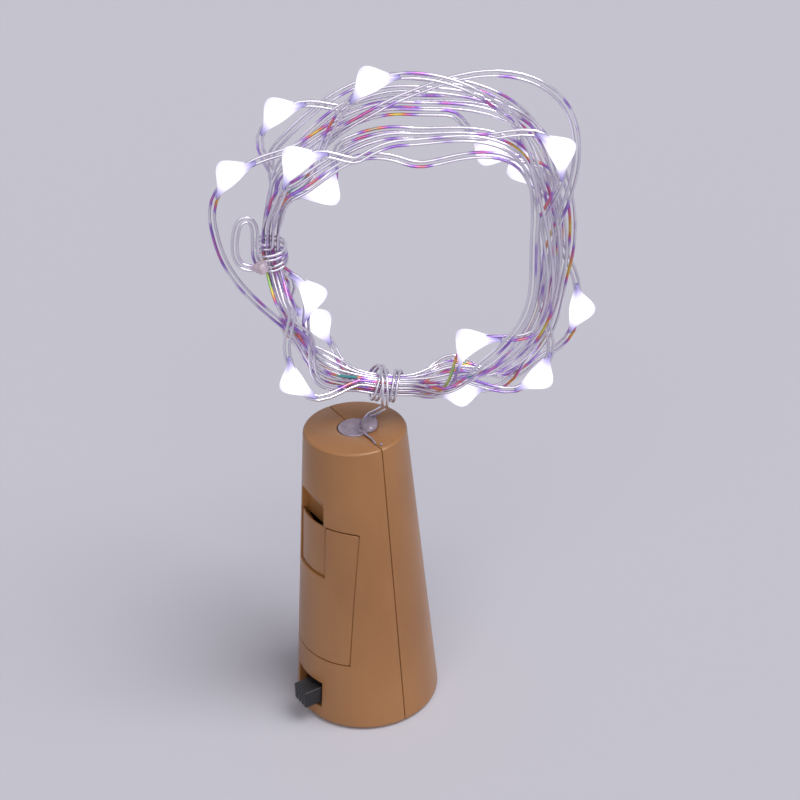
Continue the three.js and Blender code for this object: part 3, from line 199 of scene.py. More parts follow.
def taper_normals(mesh):
    """Corner normals that follow the round taper, so that the flat strips of the copy don't show."""
    def taper_normal(vertex):
        x, y, z = vertex.co
        return Vector((x, y, STOPPER_TAPER * math.hypot(x, y))).normalized()

    on_taper = {}
    for polygon in mesh.polygons:
        for index in polygon.vertices:
            round_normal = taper_normal(mesh.vertices[index])
            facing = polygon.normal.dot(round_normal)
            if abs(facing) > math.cos(math.radians(TAPER_FACES)) and polygon.area > SMALLEST_FACE ** 2:
                on_taper.setdefault(index, math.copysign(1, facing))
    normals = [Vector(c.vector) for c in mesh.corner_normals]
    for polygon in mesh.polygons:
        for corner in polygon.loop_indices:
            index = mesh.loops[corner].vertex_index
            if index not in on_taper:
                continue
            round_normal = on_taper[index] * taper_normal(mesh.vertices[index])
            if polygon.normal.dot(round_normal) > math.cos(math.radians(CREASE)):
                normals[corner] = round_normal
    mesh.normals_split_custom_set(normals)


abs_tan = tan_abs()
rear_half = new_piece("rear_half", moulded_copy("rear_shell"), abs_tan, "stopper", "rear_shell")


# Slide switch: a folded nickel-plated housing with a paper-phenolic board behind it and three brass
# pins through the board. It is held between the front half's seat and the rear half's two plates.
SHEET_GRAIN = 0.8 * MM
FIBRE_LENGTH = 1.2 * MM


def plated_metal(name, dark, light, rough):
    """Rolled strip, plated: long grain in the colour and gloss, as the rolls left it."""
    material, tree = new_material(name)
    grain = noise(tree, SHEET_GRAIN, 4, (0.15, 1, 1))
    return surfaced(material, {
        "Base Color": ramp(tree, grain, [(0.3, dark), (0.7, light)]), "Metallic": 1,
        "Roughness": spread(tree, grain, rough - 0.08, rough + 0.08)})


def paper_phenolic():
    """Pressed paper in phenolic resin: brown with short pale fibres."""
    material, tree = new_material("paper_phenolic_board")
    fibre = noise(tree, FIBRE_LENGTH, 5, (0.3, 1, 2))
    colour = ramp(tree, fibre, [(0.35, "#5A3018"), (0.65, "#8A5A34")])
    return surfaced(material, {"Base Color": colour, "Roughness": 0.6})


def dress(node, material):
    """A better finish on a CAD node that stays."""
    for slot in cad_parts[node].material_slots:
        slot.material = material


nickel = plated_metal("steel_strip_nickel_plated", "#A3A19A", "#C8C6BF", 0.28)
brass = plated_metal("brass_strip_rolled", "#9C7A36", "#C6A258", 0.3)
dress("switch_housing", nickel)
dress("switch_board", paper_phenolic())
for node in ("switch_pin_1", "switch_pin_2", "switch_pin_3", "switch_wiper"):
    dress(node, brass)


# Slider: one moulding in black nylon, a knob with grip grooves on a wide carriage. It runs in the
# housing's slot and carries the brass bridge on its back.
KNOB_WIDTH = 3.2 * MM
KNOB_HEIGHT = 2.7 * MM
KNOB_ROUND = 0.22 * MM
CARRIAGE_DEPTH = 1.2 * MM
GROOVE_COUNT = 3
GROOVE_PITCH = 0.8 * MM
GROOVE_WIDTH = 0.36 * MM
GROOVE_DEPTH = 0.3 * MM
KNOB_EDGES = 60  # degrees above which an edge of the slider gets a round
FINE_CREASE = 35
NYLON_GRAIN = 0.3 * MM


def slider_mesh():
    """The knob's outline from above drawn through its height, and the carriage behind it."""
    low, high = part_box("switch_slider")
    middle = (low + high) / 2
    tip, step = low.y, high.y - CARRIAGE_DEPTH
    outline = [(-KNOB_WIDTH / 2, step + EDGE_ROUND), (-KNOB_WIDTH / 2, tip)]
    for i in range(GROOVE_COUNT):
        x = (i - (GROOVE_COUNT - 1) / 2) * GROOVE_PITCH
        outline += [(x - GROOVE_WIDTH / 2, tip), (x, tip + GROOVE_DEPTH), (x + GROOVE_WIDTH / 2, tip)]
    outline += [(KNOB_WIDTH / 2, tip), (KNOB_WIDTH / 2, step + EDGE_ROUND)]
    bm = bmesh.new()
    face = bm.faces.new([bm.verts.new((middle.x + x, y, middle.z - KNOB_HEIGHT / 2)) for x, y in outline])
    drawn = bmesh.ops.extrude_face_region(bm, geom=[face])["geom"]
    raised = [v for v in drawn if isinstance(v, bmesh.types.BMVert)]
    bmesh.ops.translate(bm, verts=raised, vec=(0, 0, KNOB_HEIGHT))
    carriage = bmesh.ops.create_cube(bm, size=1)["verts"]
    back = Vector((low.x, step, low.z))
    for vertex in carriage:
        vertex.co = [between(a, b, share + 0.5) for a, b, share in zip(back, high, vertex.co)]
    bmesh.ops.recalc_face_normals(bm, faces=bm.faces)
    sharp = [e for e in bm.edges if e.calc_face_angle_signed(0) > math.radians(KNOB_EDGES)]
    bmesh.ops.bevel(bm, geom=sharp, offset=KNOB_ROUND, segments=3, profile=0.5, affect="EDGES",
                    clamp_overlap=True)
    return shaded_mesh(bm, "slider", FINE_CREASE)


def between(low, high, share):
    return low + (high - low) * share


def black_nylon():
    """Moulded nylon: near black, with a fine dull grain and a soft gloss where fingers rub it."""
    material, tree = new_material("nylon_black_moulded")
    grain = noise(tree, NYLON_GRAIN, 2)
    return surfaced(material, {
        "Base Color": ramp(tree, grain, [(0.3, "#101012"), (0.7, "#1D1D20")]),
        "Roughness": spread(tree, grain, 0.32, 0.55), "IOR": 1.53,
        "Normal": bumps(tree, grain, 0.3, 0.02 * MM)})


nylon = black_nylon()
slider = new_piece("switch_knob", slider_mesh(), nylon, "slider", "switch_slider")


# Contacts: a nickel-plated plate under the cells with a conical spring on it, and a second plate
# above them with a tab up to the resistor. Both plates are pressed into slots of the shelves.
SPRING_WIRE_RADIUS = 0.25 * MM
SPRING_TURNS = 3.5
SPRING_WIDE = 3.6 * MM
SPRING_NARROW = 2.2 * MM
SPRING_FLAT = 0.08  # share of the coil at each end that hardly rises
SPRING_STEPS = 32  # for each turn
SPRING_SIDES = 12


def spring_line():
    """A conical coil whose ends lie flat."""
    low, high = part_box("negative_spring")
    count = round(SPRING_TURNS * SPRING_STEPS)
    points = []
    for i in range(count + 1):
        share = i / count
        a = 2 * math.pi * SPRING_TURNS * share
        radius = between(SPRING_WIDE, SPRING_NARROW, share)
        rise = smoothstep(share, SPRING_FLAT, 1 - SPRING_FLAT)
        z = between(low.z + SPRING_WIRE_RADIUS, high.z - SPRING_WIRE_RADIUS, rise)
        points.append(Vector((radius * math.cos(a), radius * math.sin(a), z)))
    return points


def smoothstep(value, low, high):
    share = min(max((value - low) / (high - low), 0), 1)
    return share * share * (3 - 2 * share)


def line_mesh(name, points):
    mesh = bpy.data.meshes.new(name)
    mesh.from_pydata(points, [(i, i + 1) for i in range(len(points) - 1)], [])
    return mesh


def new_tree(name, inputs):
    """A geometry tree with named inputs, and the sockets that they come in by."""
    tree = bpy.data.node_groups.new(name, "GeometryNodeTree")
    for label, kind in {"Geometry": "Geometry", **inputs, "Finish": "Material"}.items():
        tree.interface.new_socket(label, in_out="INPUT", socket_type="NodeSocket" + kind)
    tree.interface.new_socket("Geometry", in_out="OUTPUT", socket_type="NodeSocketGeometry")
    return tree, add(tree, "NodeGroupInput").outputs


def close_tree(tree, geometry, finish):
    """The tree, ended with real geometry in one material."""
    whole = add(tree, "GeometryNodeRealizeInstances", {"Geometry": geometry})
    finished = add(tree, "GeometryNodeSetMaterial", {
        "Geometry": whole.outputs["Geometry"], "Material": finish})
    add(tree, "NodeGroupOutput", {"Geometry": finished.outputs["Geometry"]})
    return tree


def wire_tree():
    """Sweeps a round wire along a line and keeps the distance along it for the colours."""
    tree, given = new_tree("drawn_wire", {"Wire radius": "Float", "Sides": "Int"})
    line = add(tree, "GeometryNodeMeshToCurve", {"Mesh": given["Geometry"]})
    distance = add(tree, "GeometryNodeSplineParameter").outputs["Length"]
    marked = add(tree, "GeometryNodeStoreNamedAttribute", {
        "Geometry": line.outputs["Curve"], "Name": "along", "Value": distance},
        data_type="FLOAT", domain="POINT")
    section = add(tree, "GeometryNodeCurvePrimitiveCircle", {
        "Resolution": given["Sides"], "Radius": given["Wire radius"]})
    swept = add(tree, "GeometryNodeCurveToMesh", {
        "Curve": marked.outputs["Geometry"], "Profile Curve": section.outputs["Curve"], "Fill Caps": True})
    smooth = add(tree, "GeometryNodeSetShadeSmooth", {"Geometry": swept.outputs["Mesh"]})
    return close_tree(tree, smooth.outputs["Geometry"], given["Finish"])


def result_of(source):
    """The plain mesh that an object's modifiers make. The object itself goes."""
    depsgraph = bpy.context.evaluated_depsgraph_get()
    mesh = bpy.data.meshes.new_from_object(source.evaluated_get(depsgraph))
    bpy.data.objects.remove(source)
    return mesh


def grown(name, mesh, tree, values):
    """The mesh that a node tree makes from a starting mesh, with the tree's inputs set by their names."""
    source = in_scene(name + "_source", mesh)
    modifier = source.modifiers.new("grown", "NODES")
    modifier.node_group = tree
    for item in tree.interface.items_tree:
        if item.in_out == "INPUT" and item.name in values:
            modifier[item.identifier] = values[item.name]
    result = result_of(source)
    result.name = name
    return result


dress("negative_contact_plate", nickel)
dress("positive_contact_plate", nickel)
drawn_wire = wire_tree()
spring_shape = grown("contact_spring", line_mesh("contact_spring", spring_line()), drawn_wire, {
    "Wire radius": SPRING_WIRE_RADIUS, "Sides": SPRING_SIDES, "Finish": nickel})
spring = new_piece("contact_spring", spring_shape, nickel, "stopper", "negative_spring")


# Button cells: three in a stack, each a drawn steel can crimped over a narrower cap, with a dark
# nylon ring between them. The cap is down, on the spring.
CELL_COUNT = 3
CELL_RADIUS = 5.8 * MM
CELL_CAP_RADIUS = 4.6 * MM
CELL_CAP_HEIGHT = 0.7 * MM
CELL_EDGE = 0.35 * MM
CELL_SEGMENTS = 96
SAME_POINT = 0.002 * MM  # points nearer than this are made one where a mesh closes
DRAW_LINES = 0.5 * MM


def turned_mesh(name, profile, segments):
    """A profile of radius and height turned about the stopper's axis."""
    bm = bmesh.new()
    line = [bm.verts.new((radius, 0, z)) for radius, z in profile]
    edges = [bm.edges.new(pair) for pair in zip(line, line[1:])]
    bmesh.ops.spin(bm, geom=line + edges, axis=(0, 0, 1), cent=(0, 0, 0), angle=2 * math.pi, steps=segments)
    bmesh.ops.remove_doubles(bm, verts=bm.verts, dist=SAME_POINT)
    bmesh.ops.recalc_face_normals(bm, faces=bm.faces)
    return shaded_mesh(bm, name, FINE_CREASE)


def arc(radius, z, size, start, end, steps=5):
    """Points of a rounded corner, from one angle to another."""
    angles = [math.radians(between(start, end, i / steps)) for i in range(steps + 1)]
    return [(radius + size * math.cos(a), z + size * math.sin(a)) for a in angles]


def stack_tree():
    """Repeats a mesh upwards at an even pitch."""
    tree, given = new_tree("stacked_cells", {"Count": "Int", "Pitch": "Vector"})
    places = add(tree, "GeometryNodeMeshLine", {"Count": given["Count"], "Offset": given["Pitch"]})
    stacked = add(tree, "GeometryNodeInstanceOnPoints", {
        "Points": places.outputs["Mesh"], "Instance": given["Geometry"]})
    return close_tree(tree, stacked.outputs["Instances"], given["Finish"])


def drawn_steel():
    """Drawn stainless steel: bright, with faint upright lines from the die."""
    material, tree = new_material("stainless_steel_drawn")
    lines = noise(tree, DRAW_LINES, 4, (1, 1, 0.08))
    return surfaced(material, {
        "Base Color": ramp(tree, lines, [(0.3, "#AEB0B2"), (0.7, "#D3D5D6")]), "Metallic": 1,
        "Roughness": spread(tree, lines, 0.14, 0.3)})


cell_low, cell_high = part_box("button_cell_1")
cell_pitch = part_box("button_cell_2")[0].z - cell_low.z
can_foot = cell_low.z + CELL_CAP_HEIGHT
can_profile = [
    (0, cell_low.z), *arc(CELL_CAP_RADIUS - CELL_EDGE, cell_low.z + CELL_EDGE, CELL_EDGE, -90, 0),
    (CELL_CAP_RADIUS, can_foot), *arc(CELL_RADIUS - CELL_EDGE, can_foot + CELL_EDGE, CELL_EDGE, -90, 0),
    *arc(CELL_RADIUS - CELL_EDGE, cell_high.z - CELL_EDGE, CELL_EDGE, 0, 90), (0, cell_high.z),
]
ring_middle = CELL_CAP_RADIUS + CELL_EDGE / 2
ring_profile = arc(ring_middle, can_foot, CELL_EDGE / 2, -180, 180, 12)
stacked_cells = stack_tree()
steel = drawn_steel()
cell_nodes = [f"button_cell_{i + 1}" for i in range(CELL_COUNT)]
for name, profile, finish, nodes in (
        ("button_cells", can_profile, steel, cell_nodes), ("cell_seal_rings", ring_profile, nylon, [])):
    shape = grown(name, turned_mesh(name, profile, CELL_SEGMENTS), stacked_cells, {
        "Count": CELL_COUNT, "Pitch": (0, 0, cell_pitch), "Finish": finish})
    cells = new_piece(name, shape, finish, "stopper", *nodes)


# Resistor and leads: a small film resistor stands on the upper plate's tab in the positive line,
# and two PVC-covered leads join the spring plate, the switch and the string. All are soldered.
PVC_MOTTLE = 2.5 * MM
LEAD_EASE = 0.15  # how far each point of a lead moves towards its neighbours' middle
LEAD_CREASE = 70
BAND_WIDTH = 0.34 * MM
BAND_COLOURS = ("#8A5A2B", "#1C1C1C", "#1C1C1C", "#B8923A")
RESISTOR_BODY = (0.33, 0.8)  # its ends as shares of the whole height
FIRST_BAND = 0.4
BAND_PITCH = 0.08
TINNED_LEG = "#B9B6AE"
CREAM = "#D3B98A"


def softened_copy(node):
    """A smooth copy of a swept node."""
    bm = bmesh.new()
    bm.from_mesh(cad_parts[node].data)
    bmesh.ops.remove_doubles(bm, verts=bm.verts, dist=SAME_POINT)
    bmesh.ops.smooth_vert(
        bm, verts=bm.verts, factor=LEAD_EASE, use_axis_x=True, use_axis_y=True, use_axis_z=True)
    return shaded_mesh(bm, node + "_soft", LEAD_CREASE)


def pvc(name, dark, light):
    """Drawn PVC cover: soft gloss, slightly cloudy."""
    material, tree = new_material(name)
    colour = ramp(tree, noise(tree, PVC_MOTTLE, 2), [(0.3, dark), (0.7, light)])
    return surfaced(material, {"Base Color": colour, "Roughness": 0.42, "IOR": 1.53})


def resistor_paint():
    """Dipped paint, cream, with four colour bands round the body at even steps of its height."""
    material, tree = new_material("resistor_lacquer_banded")
    low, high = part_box("series_resistor")
    place = add(tree, "ShaderNodeTexCoord").outputs["Object"]
    height = add(tree, "ShaderNodeSeparateXYZ", {"Vector": place}).outputs["Z"]
    share = add(tree, "ShaderNodeMapRange", {"Value": height, "From Min": low.z, "From Max": high.z})
    stops = [(0, TINNED_LEG), (RESISTOR_BODY[0], CREAM)]
    for i, code in enumerate(BAND_COLOURS):
        start = FIRST_BAND + BAND_PITCH * i
        stops += [(start, code), (start + BAND_WIDTH / (high.z - low.z), CREAM)]
    stops.append((RESISTOR_BODY[1], TINNED_LEG))
    colour = ramp(tree, share.outputs["Result"], stops, "CONSTANT")
    return surfaced(material, {"Base Color": colour, "Roughness": 0.4})


dress("series_resistor", resistor_paint())
black_cover = pvc("pvc_cover_black", "#141416", "#222226")
red_cover = pvc("pvc_cover_red", "#97201A", "#B0302A")
for node, finish, slot in (
        ("battery_lead", black_cover, "lead_pvc_black"), ("string_lead", red_cover, "lead_pvc_red")):
    lead = new_piece(node + "_cover", softened_copy(node), finish, "stopper", node)


# Front half of the stopper: the mating moulding, with the switch window near the foot, the door
# opening with its ledge, and the finger notch above it. It snaps on to the rear half's pegs.
front_half = new_piece("front_half", moulded_copy("front_shell"), abs_tan, "stopper", "front_shell")


# Battery door: a curved panel of the same ABS that hooks in at its foot and is held by a sunk
# tongue at its head, which gives between two slits when the notch above it is pressed.
door_panel = new_piece("door_panel", moulded_copy("battery_door"), abs_tan, "door", "battery_door")


# Hot glue: poured into the hole round the wires, it sank to a dish as it cooled. The last of it
# stands as a mound against the wires, and a thread of it was drawn out along the seam. Bare
# lengths from here to the end drop are in millimetres.
GLUE_RADIUS = 2.4
GLUE_DEPTH = 2.8
# The dish from its lip to its middle: share of the radius, level above the stopper
GLUE_DISH = [
    (1, -0.05), (0.96, 0.06), (0.9, 0.1), (0.82, 0.02), (0.7, -0.2), (0.5, -0.38), (0.25, -0.48), (0, -0.5),
]
MOUND_PLACE = (2.05, 0.5)
MOUND_HALVES = (1.25, 2.3, 1.1)
THREAD_RADIUS = 0.25
THREAD_LENGTH = 4
THREAD_OVERLAP = 1  # from the hole's edge in to where it starts
THREAD_LEVEL = 0.12  # of its middle above the stopper
THREAD_SWAY = 0.35
THREAD_BEND = 3.2  # radians of its sideways wave
THREAD_THINNING = 0.45
THREAD_END = 0.15  # share of it that swells again
THREAD_END_SWELL = 0.3
THREAD_SPOTS = 26
DOT_PLACE = (6.15, 0.5)  # a last speck past the thread's end
DOT_RADIUS = 0.26
DOT_LEVEL = 0.1
GLUE_SEAT = 0.01  # glue outside the hole stays this far above the stopper
GLUE_SEGMENTS = 48
GLUE_VOXEL = 0.1 * MM
GLUE_EASE = 0.5  # how far each round of smoothing moves a point towards its neighbours
GLUE_EASE_ROUNDS = 5
GLUE_CLOUD = 1.6 * MM
RING_TURN = 58.5


def glue_mesh():
    """Plug, mound and thread run together, with the steps between them melted."""
    top = STOPPER_HEIGHT
    foot = top - GLUE_DEPTH * MM
    profile = [(0, foot), (GLUE_RADIUS * MM, foot)]
    for share, level in GLUE_DISH:
        profile.append((GLUE_RADIUS * share * MM, top + level * MM))
    bm = bmesh.new()
    bm.from_mesh(turned_mesh("glue", profile, GLUE_SEGMENTS))
    aim = Matrix.Rotation(math.radians(RING_TURN), 4, "Z")
    mound = aim @ Matrix.Translation((MOUND_PLACE[0] * MM, MOUND_PLACE[1] * MM, top))
    mound = mound @ Matrix.Diagonal([half * MM for half in MOUND_HALVES] + [1])
    lumps = []

    def lump(place, radius, sides, rows):
        made = bmesh.ops.create_uvsphere(bm, u_segments=sides, v_segments=rows, radius=radius, matrix=place)
        lumps.extend(made["verts"])

    lump(mound, 1, 32, 20)
    for i in range(THREAD_SPOTS):
        share = i / (THREAD_SPOTS - 1)
        swell = THREAD_END_SWELL * max(share - 1 + THREAD_END, 0) / THREAD_END
        size = THREAD_RADIUS * MM * (1 - THREAD_THINNING * share + swell)
        x = (GLUE_RADIUS - THREAD_OVERLAP + THREAD_LENGTH * share) * MM
        y = THREAD_SWAY * MM * math.sin(THREAD_BEND * share) * share
        lump(Matrix.Translation((x, y, top + THREAD_LEVEL * MM)), size, 12, 8)
    dot = Matrix.Translation((DOT_PLACE[0] * MM, DOT_PLACE[1] * MM, top + DOT_LEVEL * MM))
    lump(dot, DOT_RADIUS * MM, 16, 10)
    for vertex in lumps:
        if math.hypot(vertex.co.x, vertex.co.y) >= GLUE_RADIUS * MM:
            vertex.co.z = max(vertex.co.z, top + GLUE_SEAT * MM)
    mesh = bpy.data.meshes.new("glue_forms")
    bm.to_mesh(mesh)
    bm.free()
    source = in_scene("glue_forms", mesh)
    melted = source.modifiers.new("melted", "REMESH")
    melted.mode = "VOXEL"
    melted.voxel_size = GLUE_VOXEL
    eased = source.modifiers.new("eased", "SMOOTH")
    eased.factor = GLUE_EASE
    eased.iterations = GLUE_EASE_ROUNDS
    result = result_of(source)
    for polygon in result.polygons:
        polygon.use_smooth = True
    return result


def hot_glue():
    """Ethylene-vinyl hot glue: cloudy and wet-looking, cool grey with a lavender cast."""
    material, tree = new_material("hot_glue_set")
    cloud = noise(tree, GLUE_CLOUD, 3)
    return surfaced(material, {
        "Base Color": ramp(tree, cloud, [(0.3, "#9A899B"), (0.7, "#C2B4C6")]),
        "Roughness": 0.1, "IOR": 1.48, "Transmission Weight": 0.3,
        "Normal": bumps(tree, cloud, 0.3, 0.1 * MM)})


glue = new_piece("set_glue", glue_mesh(), hot_glue(), "stopper", "glue_plug")


# Light string: two fine silvered copper wires that run side by side and carry the drops.
# They leave the hole in the stopper, are wound round the ring's foot as a tie, go round the ring
# eleven times and end in a second tie on the left, where a drop of resin seals the cut.
RING_X = 7.2
RING_Y = 1.5
RING_LIFT = 27.4
WIRE_RADIUS = 0.2
PAIR_HALF = 0.34
PAIR_HALF_INSIDE = 0.6
PAIR_HALF_WRAP = 0.31
LAYER_PITCH = 0.92
OUTER_TURN_RADIUS = 23.4
INNER_TURN_RADIUS = 19.8
WANDER = 0.7
WANDER_WAVES = [(1.618, 0.7, 1), (2.414, 2.1, 0.7)]  # waves in a turn, start in radians, share
COLUMN_PITCH = 1.25
COLUMN_COUNT = 2
COLUMN_NEAR = 23  # degrees from a tie up to which the turns lie in its columns
COLUMN_FAR = 41  # degrees from a tie at which they run free
ROW_PITCH = 0.56
ROW_NEAR = 8  # degrees from a tie up to which its rows are pressed together
WRAP_HALF_RADIAL = 1.85
WRAP_HALF_AXIAL = 2.1
WRAP_ROUND = 0.8
WRAP_SLACK = 0.12
OVER_SWEEP = 230  # degrees that the lead goes round the lower tie before its wraps
OVER_SLACK = 0.5
OVER_JOIN = 0.125  # share of the way over the tie that the lead's end aims at
WRAP_SWEEP = 26  # degrees of the ring between a tie's wraps and the free turn
RUN_TWIST = 40  # degrees round the tie from a wrap's end to the ring
RUN_EASE = 1.4
TOUCH = 0.1  # room between the pair and the turn that it passes
# Inward is the way along the wind to the turn beside, loose is the turn that a tie leaves out
LOWER_TIE = {"angle": 263, "radius": 21.8, "wraps": 2, "pitch": 2.1, "inward": 360, "loose": None}
LEFT_TIE = {"angle": 182, "radius": 17.1, "wraps": 2, "pitch": 1.6, "inward": -360, "loose": 4}
TIES = (LOWER_TIE, LEFT_TIE)
# Where one turn stands away from the rest: angle along the wind, distance, degrees to each side
LOOSE_TURNS = [(1612, 1.6, 45), (2206, 6.8, 60), (2966, 6.3, 58), (3675, -2.6, 45)]
# Where all turns stand off the circle: angle, distance, how far they fan out, degrees to each side
RING_SHAPE = [
    (5, -1.4, 1.5, 42), (85, -3.6, 2, 50), (132, -4.4, 2, 46), (222, -1.8, 2, 60), (306, 2.2, 5, 38),
]
FULL_TURNS = 11
# From inside the stopper up to the lower tie: across, back, above the stopper
LEAD_POINTS = [
    (1.1, 1.0, -4.8), (1.1, 1.0, -3.2), (1.15, 1.05, -1.6), (1.25, 1.1, -0.3), (1.75, 1.2, 0.5),
    (2.3, 1.1, 1.2), (2.85, 0.5, 1.85), (3.4, -0.1, 2.5), (3.9, -0.5, 3.05),
]
# Past the left tie: degrees, radial and axial distance from the tie's middle
TAIL_POINTS = [
    (3, 1.2, 2.8), (-2, 1.8, 3.0), (-9, 1.9, 3.1), (-14, 2.1, 3.2), (-17, 2.6, 3.3), (-17.9, 3.3, 3.4),
    (-17, 4.0, 3.5), (-14, 4.4, 3.6), (-8, 4.5, 3.7), (-3.2, 4.3, 3.8), (-0.4, 3.7, 3.9), (0.7, 2.9, 4.0),
    (0.9, 2.3, 4.0),
]
DROP_ANGLES = [331, 229, 131, 28, 288, 156, 46, 311, 210, 138, 97, 33, 303, 231, 132]
DROPS_INSIDE_RING = [1, 3, 6, 8, 9, 12]
DROP_RADIUS = 1.75
DROP_OFFSET = 0.75
DROP_CLEARANCE = 0.75
DROP_FLAT = 4  # degrees to each side of a drop over which its wires keep their lift
DROP_BULGE = 24  # degrees to each side over which they come back to their turn
DROP_SPAN = 9  # degrees to each side of a drop within which it clears other turns
NEAR_TURNS = (-2, -1, 1, 2)
RING_STEP = 3  # degrees between sections of the wound wires
WRAP_STEPS = 28
OVER_STEPS = 24
WIRE_SIDES = 8
RUN_STEPS = 18
LEAD_STEPS = 6
LEAD_CLOSE = 4  # points of the lead over which the two wires come together
PATCH_LENGTH = 14 * MM
FINE_PATCH = 3.5 * MM

ring_z = STOPPER_HEIGHT / MM + RING_LIFT
wind_start = LOWER_TIE["angle"]
wind_end = LEFT_TIE["angle"] + 360 * FULL_TURNS
turn_count = (wind_end - wind_start) / 360
row_squeeze = ROW_PITCH / COLUMN_COUNT / LAYER_PITCH


def ring_point(angle, radial, axial):
    a = math.radians(angle)
    return Vector((RING_X + radial * math.cos(a), RING_Y - axial, ring_z + radial * math.sin(a)))


def angle_from(angle, middle):
    return (angle - middle + 180) % 360 - 180


def tie_share(angle, tie, near, far):
    """One near a tie and nothing far from it."""
    if round((angle - tie["angle"]) / 360) == tie["loose"]:
        return 0
    return 1 - smoothstep(abs(angle_from(angle, tie["angle"])), near, far)


def tie_column(angle, tie):
    column = round((angle - tie["angle"]) / 360) % COLUMN_COUNT
    return tie["radius"] + (column - (COLUMN_COUNT - 1) / 2) * COLUMN_PITCH


def swing(share):
    """One at the middle of a swing, easing to nothing at its reach."""
    return (1 + math.cos(math.pi * min(share, 1))) / 2


def turn_radius(angle):
    share = (angle - wind_start) / (wind_end - wind_start)
    a = math.radians(angle)
    radius = between(OUTER_TURN_RADIUS, INNER_TURN_RADIUS, share)
    radius += WANDER * sum(part * math.sin(waves * a + start) for waves, start, part in WANDER_WAVES)
    for middle, distance, reach in LOOSE_TURNS:
        radius += distance * swing(abs(angle - middle) / reach)
    for middle, distance, fan, reach in RING_SHAPE:
        off = distance + fan * (0.5 - share)
        radius += off * swing(abs(angle_from(angle, middle)) / reach)
    for tie in TIES:
        held = tie_share(angle, tie, COLUMN_NEAR, COLUMN_FAR)
        radius = between(radius, tie_column(angle, tie), held)
    return radius


def turn_level(angle):
    share = (angle - wind_start) / (wind_end - wind_start)
    level = (share - 0.5) * turn_count * LAYER_PITCH
    for tie in TIES:
        level *= between(1, row_squeeze, tie_share(angle, tie, ROW_NEAR, COLUMN_NEAR))
    return level


# Each drop stands off the turns beside it by its own depth
drops = []
for i, angle in enumerate(DROP_ANGLES):
    before = drops[-1]["angle"] + 1 if drops else wind_start
    wound = angle + 360 * math.ceil((before - angle) / 360)
    outward = -1 if i in DROPS_INSIDE_RING else 1
    clear = DROP_RADIUS - DROP_OFFSET + PAIR_HALF + WIRE_RADIUS + DROP_CLEARANCE
    lift = 0
    for turn in NEAR_TURNS:
        for aside in (-DROP_SPAN, 0, DROP_SPAN):
            beside = wound + 360 * turn + aside
            if wind_start <= beside <= wind_end:
                lift = max(lift, outward * (turn_radius(beside) - turn_radius(wound + aside)) + clear)
    drops.append({"angle": wound, "outward": outward, "lift": lift})


def pair_radius(angle):
    radius = turn_radius(angle)
    for drop in drops:
        past = max(abs(angle - drop["angle"]) - DROP_FLAT, 0)
        radius += drop["outward"] * drop["lift"] * swing(past / (DROP_BULGE - DROP_FLAT))
    return radius


def pair_point(angle):
    return ring_point(angle, pair_radius(angle), turn_level(angle))


def rounded(value, half):
    """A wrap's side on a rounded box."""
    return half * math.copysign(abs(value) ** WRAP_ROUND, value)


def wrap_slack(share):
    """A wrap is slackest between the tie's middle and its ends."""
    return 1 + WRAP_SLACK * math.sin(2 * math.pi * share) ** 2


def wrap_point(angle, tie, around, slack):
    turn = math.radians(around)
    radial = tie["radius"] + slack * rounded(math.cos(turn), WRAP_HALF_RADIAL)
    return ring_point(angle, radial, slack * rounded(math.sin(turn), WRAP_HALF_AXIAL))


def wrap_normal(angle, around):
    a, turn = math.radians(angle), math.radians(around)
    return Vector((math.cos(a) * math.cos(turn), -math.sin(turn), math.sin(a) * math.cos(turn)))


def run_point(angle, tie, around, blend):
    """Between a wrap and the ring the pair stays outside both."""
    beside = turn_level(angle + tie["inward"])
    wrap_radius = tie["radius"] + rounded(math.cos(math.radians(around)), WRAP_HALF_RADIAL)
    axial = max(WRAP_HALF_AXIAL, abs(beside) + LAYER_PITCH + TOUCH)
    return ring_point(angle, between(wrap_radius, pair_radius(angle), blend), math.copysign(axial, beside))


def wrap_half(tie):
    return math.degrees(tie["wraps"] * tie["pitch"] / tie["radius"]) / 2


def wind_tie(tie, middle, sense):
    """The wraps of a tie, from one end of it to the other."""
    count = tie["wraps"] * WRAP_STEPS
    for i in range(count + 1):
        share = i / count
        angle = middle + (2 * share - 1) * wrap_half(tie)
        around = sense * (360 * tie["wraps"] * share - 90)
        point = wrap_point(angle, tie, around, wrap_slack(share))
        route.append((point, -sense * wrap_normal(angle, around), PAIR_HALF_WRAP))


def over_point(share):
    """The lead goes up the front and over the top of the lower tie, outside its wraps."""
    angle = wind_start - wrap_half(LOWER_TIE) * share ** 2
    around = -90 - OVER_SWEEP * (1 - share)
    point = wrap_point(angle, LOWER_TIE, around, 1 + OVER_SLACK * (1 - share ** 3))
    return point, -wrap_normal(angle, around)


def curve_through(points, steps):
    """A smooth line through points, with some steps between each two."""
    ends = [points[0]] + list(points) + [points[-1]]
    line = []
    for p0, p1, p2, p3 in zip(ends, ends[1:], ends[2:], ends[3:]):
        for j in range(steps):
            t = j / steps
            line.append(0.5 * (2 * p1 + (p2 - p0) * t + (2 * p0 - 5 * p1 + 4 * p2 - p3) * t ** 2
                               + (3 * p1 - p0 - 3 * p2 + p3) * t ** 3))
    return line + [points[-1]]


BACKWARD = Vector((0, 1, 0))
FORWARD = -BACKWARD
route = []  # the pair's middle line: point, side that the pair lies flat against, half the spacing

